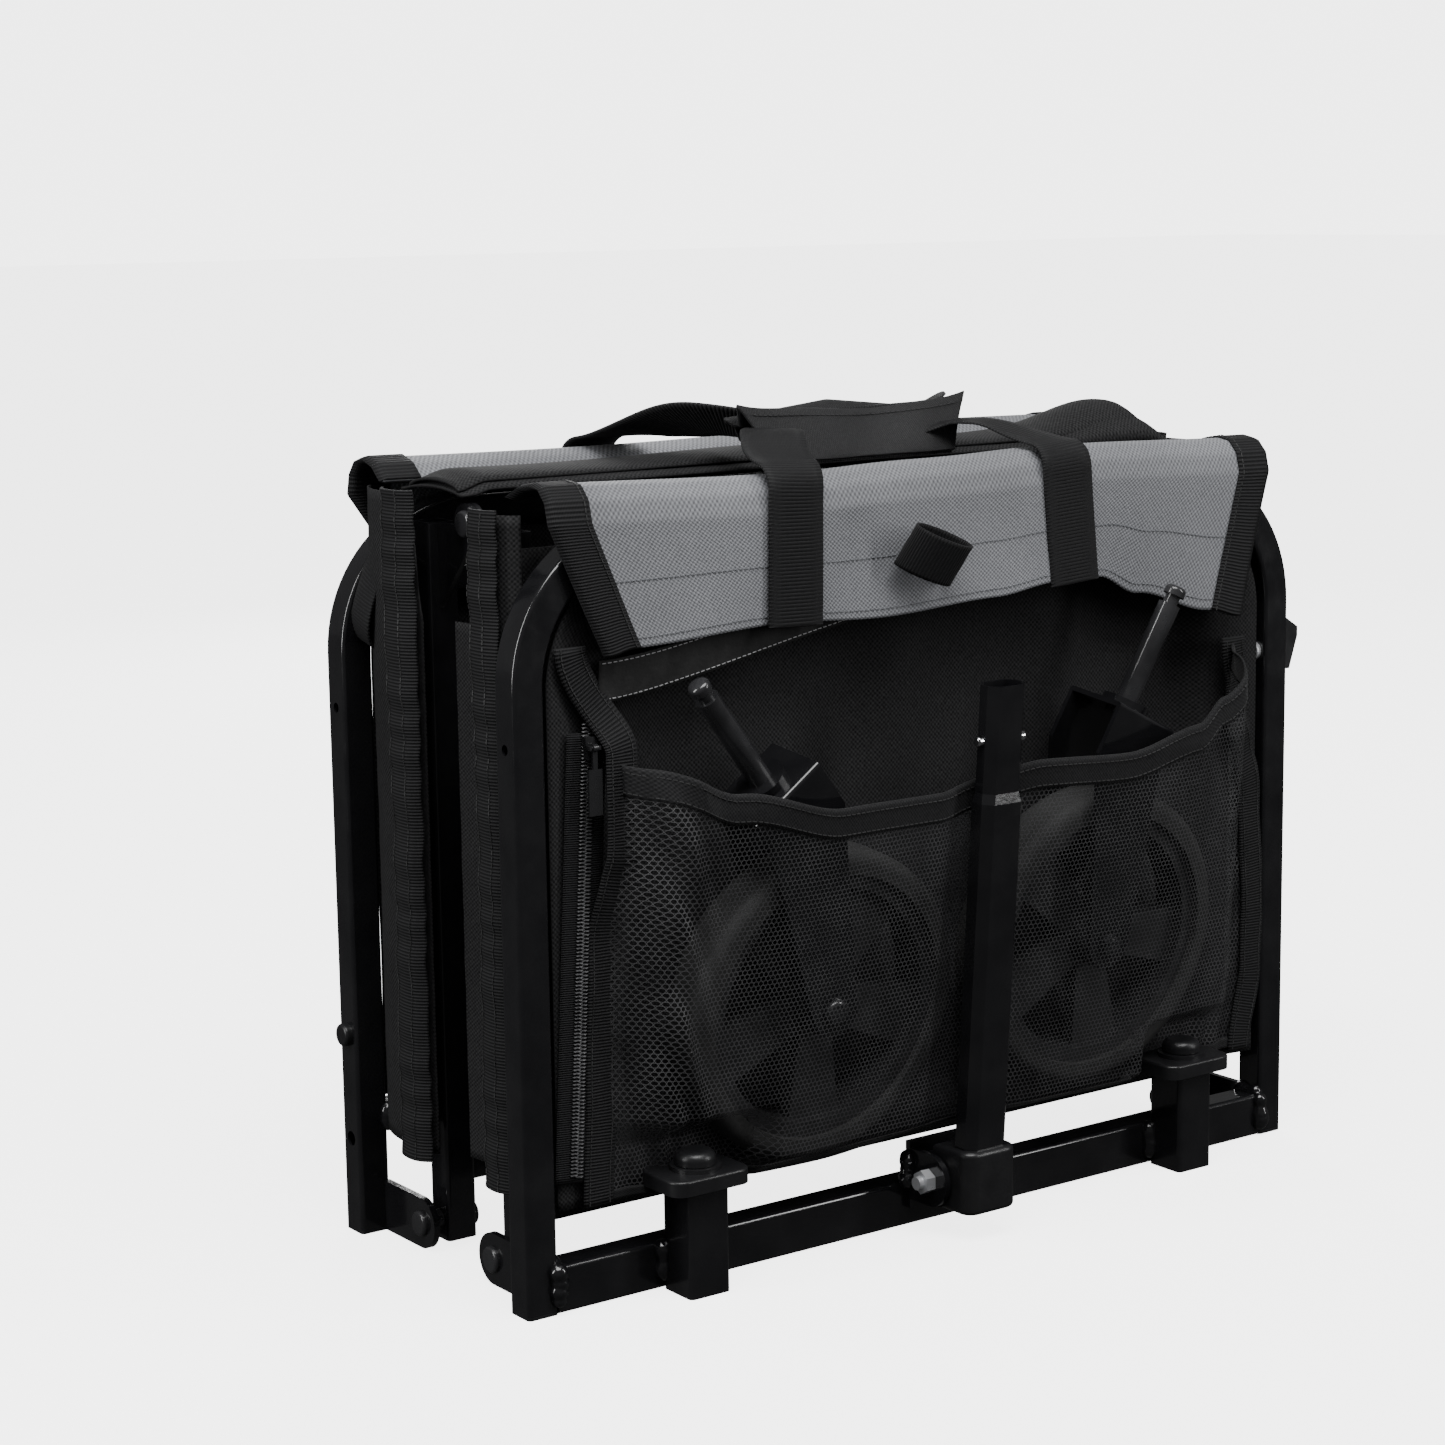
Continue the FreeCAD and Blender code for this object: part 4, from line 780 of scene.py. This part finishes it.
keeper = keep("keeper_loop", cut_cloth(keeper_flat, (90, 14), hang_keeper), binding_tape, "front_frame")
thicken(keeper, 1.3)
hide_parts("strap_keeper")
cross = [[at(-24, -81.6, 414), at(-12, -81.6, 424)], [at(-24, -81.6, 424), at(-12, -81.6, 414)]]
stitched("keeper_stitches", cross, thread_grey, "front_frame")

# ---------------------------------------------------------------- rear wall and flap
# The rear hoop carries the same oxford wall and grey weather flap, bound and stitched as in front,
# with its own webbing loop over the top.

rear_wall_flat = (0.544, 0.342)


def hang_rear(u, v):
    z = 82 + 342 * v
    x = (2 * u - 1) * inside_hoop(z)
    slack = math.sin(math.pi * v)
    y = 127 - 2.0 * math.sin(x / 55) * slack - 1.2 * math.sin(x / 19 + z / 40) * slack
    return at(x, min(y, 131), z)


rear_wall = keep("rear_wall", cut_cloth(rear_wall_flat, (100, 60), hang_rear), black_oxford, "rear_frame")
thicken(rear_wall, wall_thick)
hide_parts("rear_panel")
rear_profile = [(101, 458), (110, 466), (122, 470), (131, 468), (137.5, 460), (140.2, 448)]
rear_top_half, rear_low_half = 274, 224


def hang_rear_flap(u, v):
    share = 2 * u - 1
    if v < over_hoop:
        y, z = round_hoop(rear_profile, v / over_hoop)
        x = share * rear_top_half
        return at(x, y, z + 1.2 * math.sin(x / 70))
    down = (v - over_hoop) / (1 - over_hoop)
    x = share * (rear_top_half - (rear_top_half - rear_low_half) * down)
    top_y, top_z = rear_profile[-1]
    z = top_z + 1.2 * math.sin(x / 70) * (1 - down) - (73 - 3 * math.sin(x / 60)) * down
    return at(x, top_y + 0.8 * math.sin(x / 44) * down, z)


rear_flap = keep("rear_weather_flap", cut_cloth((0.548, 0.122), (150, 60), hang_rear_flap), grey_oxford,
                 "rear_frame")
thicken(rear_flap, flap_thick)
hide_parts("rear_flap")
stitched("rear_flap_stitches",
         [along(lambda u, v=v: hang_rear_flap(0.03 + 0.94 * u, v) + at(0, 1.0, 0), 120)
          for v in (0.95, 0.66)],
         thread_grey, "rear_frame", stitch=2.6, gap=1.1)
for side, label in ((-1, "left"), (1, "right")):
    wrap = end_tape(hang_rear_flap, side)
    tape = keep("rear_flap_tape_" + label, cut_cloth((0.122, 0.052), tape_count, wrap), binding_tape,
                "rear_frame")
    thicken(tape, tape_thick)

rear_strap = webbing(
    "rear_strap",
    [(-107, 141.6, 386), (-107, 141.8, 420), (-107, 141.8, 452), (-106, 141, 466), (-105, 132, 474),
     (-104, 116, 476), (-103, 84, 481), (-97, 52, 488), (-86, 28, 489), (-66, 8, 484), (0, 5, 482),
     (56, 8, 484), (76, 28, 487), (88, 52, 484), (95, 84, 479), (97, 116, 475.5), (98, 132, 474),
     (99, 141, 466), (100, 141.8, 452), (100, 141.8, 420), (100, 141.6, 386)],
    [(-1, 0, 0), (-1, 0, 0), (-0.7, -0.4, 0.6), (0, -0.3, 0.95), (0.7, -0.4, 0.6), (1, 0, 0), (1, 0, 0)],
    "rear_frame", bunched=in_grip)
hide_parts("rear_carry_strap")

# ---------------------------------------------------------------- side loop
# A loop of narrower webbing hangs on the left side of the rear hoop, to hold the folded roof and the
# push handle.

side_loop = webbing(
    "side_loop_webbing",
    [(-283, 96, 411), (-285, 100, 402), (-288, 103, 390), (-290, 106, 376), (-286, 110, 365),
     (-277, 112, 362), (-272, 110, 372), (-272, 106, 388), (-274, 100, 404)],
    [(0.1, 1, 0.15)] * 2, "rear_frame", wide=24)
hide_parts("side_loop")

# ---------------------------------------------------------------- folded roof
# The roof is folded flat between the hoops. Its two upper leaves of black cloth show, the narrower
# one on top, pulled up to a peak near the right end.

leaf_thick = 1.6
roof_front, roof_wide = 28, 70
for leaf in range(2):
    leaf_flat = (0.56 - 0.008 * leaf, 0.076 - 0.013 * leaf)

    def hang_leaf(u, v, leaf=leaf):
        x = -263 + (563 - 8 * leaf) * u
        width = roof_wide - 15 * leaf
        bow = math.sin(math.pi * v) ** 0.5
        peak = 15 * math.exp(-((x - 245) / 48) ** 2)
        z = 457 + 4.5 * leaf + (5 + peak) * bow + 1.1 * math.sin(x / 47 + leaf * 2) * bow
        y = roof_front + (roof_wide - width) / 2 + width * v + 1.5 * math.sin(x / 60 + leaf * 2)
        drop = 12 * ease(u, 0.94, 1) + 5 * ease(1 - u, 0.965, 1)
        return at(min(x, 303), min(max(y, 27), 99), max(454.5, z - drop))

    cloth = keep("roof_leaf_" + str(leaf + 1), cut_cloth(leaf_flat, (130, 26), hang_leaf), black_oxford,
                 "rear_frame")
    thicken(cloth, leaf_thick)
    if leaf == 0:
        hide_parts("folded_canopy")

# ---------------------------------------------------------------- side walls
# Each side wall is in two halves of black cloth, one by each hoop, each made on its hoop and then
# freed from it so that it stays where it is. A pleat bound in ribbed tape stands out from each half.

side_tape = ribbed("side_tape", (0.004, 0.004, 0.0045), (0.024, 0.024, 0.025), 0.0019, 0.7,
                   along_length=False)
side_low, band_low = 68, 65
plan_steps = 60
side_plans = {
    "rear": [(274, 116), (279, 111), (285, 98), (288, 84), (289, 68), (289, 54), (287, 44), (285, 40)],
    "front": [(274, -50), (280, -47), (284, -40), (285.5, -30), (283, -19), (275, -12), (271.5, -3),
              (271, 10), (273, 24)]}
band_plans = {"rear": [(290.8, 71), (296, 66), (298.5, 54), (296.5, 42), (290.8, 37.5)],
              "front": [(286.8, -44.5), (290.5, -38), (291.5, -28), (289.5, -18.5), (284.5, -15)]}
dips = {"rear": lambda y: 72 * (1 - ease(y, 40, 47)), "front": lambda y: 66 * ease(y, -2, 10)}


def pleat(plan, side, low, high, pucker, dip=lambda y: 0):
    """Cloth standing along a plan line, puckered a little by its seams, with a top that may dip."""
    line, length = route([(x * side, y, 0) for x, y in plan], plan_steps)

    def hang(u, v):
        spot = line[round(u * plan_steps)]
        z = low + (high - dip(spot.y * 1000) - low) * v
        shift = pucker * (math.sin(z / 3.9 + 2 * math.sin(z / 17)) + 0.6 * math.sin(z / 9))
        sway = 2.2 * math.sin(z / 58) * (1 - ease(z, 400, 460)) - 3 * (1 - ease(z, 60, 420))
        sway *= math.sin(math.pi * u)
        return Vector((spot.x + side * shift / 1000, spot.y + sway / 1000, z / 1000))
    return hang, length


for end, slider, holder, top, near, far in (("rear", "rear_sides", "rear_sides", 456, 116, 40),
                                            ("front", "front_sides", "front_frame", 450, -50, 24)):
    hoop = end + "_frame"
    for side, label in ((-1, "left"), (1, "right")):
        hang, length = pleat(side_plans[end], side, side_low, top, 0.12, dips[end])
        wall_flat = (length, (top - side_low) / 1000)
        wall = keep(f"{end}_side_wall_{label}", cut_cloth(wall_flat, (plan_steps, 60), hang), black_oxford,
                    hoop)
        thicken(wall, 1.0)
        wall.parent = None
        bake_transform(wall)
        hang, length = pleat(band_plans[end], side, band_low, top + 3, 0.55)
        side_band_flat = (length, (top + 3 - band_low) / 1000)
        band = keep(f"{end}_side_band_{label}", cut_cloth(side_band_flat, (24, 260), hang), side_tape,
                    holder)
        thicken(band, 1.2)
        stitched(f"{end}_side_stitches_{label}",
                 [along(lambda v, hang=hang, u=u: hang(u, v) + at(side * 1.0, 0, 0), 220)
                  for u in (0.3, 0.72)],
                 thread_black, holder)
        if side < 0:
            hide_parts(end + "_side_folds")

# ---------------------------------------------------------------- floor mats
# Each half of the floor has a thin mat of the black oxford over its tube frame. It is quilted in
# squares, four across and four up.

mat_wide, mat_high, mat_centre = 528, 392, 232
seam_half = 7


def sunk_seam(place, extent):
    """How far the quilting thread draws the mat in, at a place measured from its centre."""
    pitch = extent / 4
    from_seam = pitch / 2 - abs((place + extent / 2) % pitch - pitch / 2)
    return 0.9 * math.exp(-(from_seam / seam_half) ** 2)


for node, body, front, back in (("rear_floor_mat", "rear_floor", 83.3, 87.3),
                                ("front_floor_mat", "front_floor", -23.3, -19.3)):
    faces = bmesh.new()
    middle = (front + back) / 2
    bmesh.ops.create_cube(faces, size=1)
    bmesh.ops.scale(faces, vec=at(mat_wide, back - front, mat_high), verts=faces.verts)
    bmesh.ops.translate(faces, vec=at(0, middle, mat_centre), verts=faces.verts)
    measure = faces.loops.layers.uv.new("cloth")
    long_edges = [edge for edge in faces.edges if abs(edge.verts[0].co.y - edge.verts[1].co.y) < 1e-6]
    bmesh.ops.subdivide_edges(faces, edges=long_edges, cuts=31, use_grid_fill=True)
    for vert in faces.verts:
        sunk = max(sunk_seam(vert.co.x * 1000, mat_wide), sunk_seam(vert.co.z * 1000 - mat_centre, mat_high))
        vert.co.y = middle / 1000 + (vert.co.y - middle / 1000) * (1 - sunk * 0.55)
    for face in faces.faces:
        face.smooth = True
        for loop in face.loops:
            loop[measure].uv = (loop.vert.co.x, loop.vert.co.z)
    mat = keep(node + "_quilt", faces, black_oxford, body)
    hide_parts(node)

# ---------------------------------------------------------------- studio
# A pale floor in a plain room, with a broad softbox above, and a tall strip light to the left, to
# the right in front, and behind.


def softbox(name, place, aim, size, power):
    light = bpy.data.lights.new(name, "AREA")
    light.shape = "RECTANGLE"
    light.size, light.size_y = size
    light.energy = power
    lamp = bpy.data.objects.new(name, light)
    lamp.location = place
    lamp.rotation_euler = (Vector(aim) - Vector(place)).to_track_quat("-Z", "Y").to_euler()
    bpy.context.scene.collection.objects.link(lamp)


softbox("overhead", (-0.5, -0.9, 2.3), (0, 0, 0.25), (2.0, 1.2), 62)
softbox("strip_left", (-2.4, 0.3, 1.1), (0, 0, 0.25), (0.35, 1.8), 30)
softbox("strip_right", (1.5, -1.9, 1.2), (0, 0, 0.25), (0.3, 1.8), 22)
softbox("strip_back", (1.2, 2.2, 1.3), (0, 0, 0.3), (0.4, 1.8), 24)

# The room is white behind the object and dim all round it, so that the black tubes stay black and
# reflect the lamps alone.
room_light, room_mirrored, room_seen = 0.42, 0.10, 4.3
world = bpy.data.worlds.new("studio")
world.use_nodes = True
room = world.node_tree
ray = step(room, "ShaderNodeLightPath")
dim = mix(room, ray.outputs["Is Glossy Ray"], room_light, room_mirrored)
white = mix(room, ray.outputs["Is Camera Ray"], dim, room_seen)
room.nodes["Background"].inputs["Color"].default_value = (1, 1, 1, 1)
room.links.new(white, room.nodes["Background"].inputs["Strength"])
bpy.context.scene.world = world

floor_seen, floor_cast = 3.6, 0.06
sheet = bmesh.new()
bmesh.ops.create_grid(sheet, x_segments=1, y_segments=1, size=30)
floor_data = bpy.data.meshes.new("floor")
sheet.to_mesh(floor_data)
sheet.free()
floor = bpy.data.objects.new("floor", floor_data)
bpy.context.scene.collection.objects.link(floor)
pale, pale_tree, pale_surface = shader("pale_floor")
pale_surface.inputs["Base Color"].default_value = (0.8, 0.8, 0.8, 1)
pale_surface.inputs["Roughness"].default_value = 1.0
pale_surface.inputs["Specular IOR Level"].default_value = 0.0
seen = step(pale_tree, "ShaderNodeLightPath").outputs["Is Camera Ray"]
glow = step(pale_tree, "ShaderNodeEmission", {"Color": (1, 1, 1, 1), "Strength": floor_seen})
lit = step(pale_tree, "ShaderNodeAddShader", {0: pale_surface.outputs[0], 1: glow.outputs[0]})
dark = step(pale_tree, "ShaderNodeEmission", {"Color": (1, 1, 1, 1), "Strength": floor_cast})
choice = step(pale_tree, "ShaderNodeMixShader", {0: seen, 1: dark.outputs[0], 2: lit.outputs[0]})
pale_tree.links.new(choice.outputs[0], pale_tree.nodes["Material Output"].inputs["Surface"])
floor_data.materials.append(pale)

eye = bpy.data.cameras.new("studio_camera")
eye.lens = 77.87
eye.sensor_width = 36
eye.clip_end = 100
camera = bpy.data.objects.new("studio_camera", eye)
bpy.context.scene.collection.objects.link(camera)
camera_place = (-1.174652, -1.498522, 0.620207)
camera_turn = Euler([math.radians(angle) for angle in (80.447, 0.841, -35.667)]).to_matrix()
camera.matrix_world = Matrix.Translation(camera_place) @ camera_turn.to_4x4()
bpy.context.scene.camera = camera
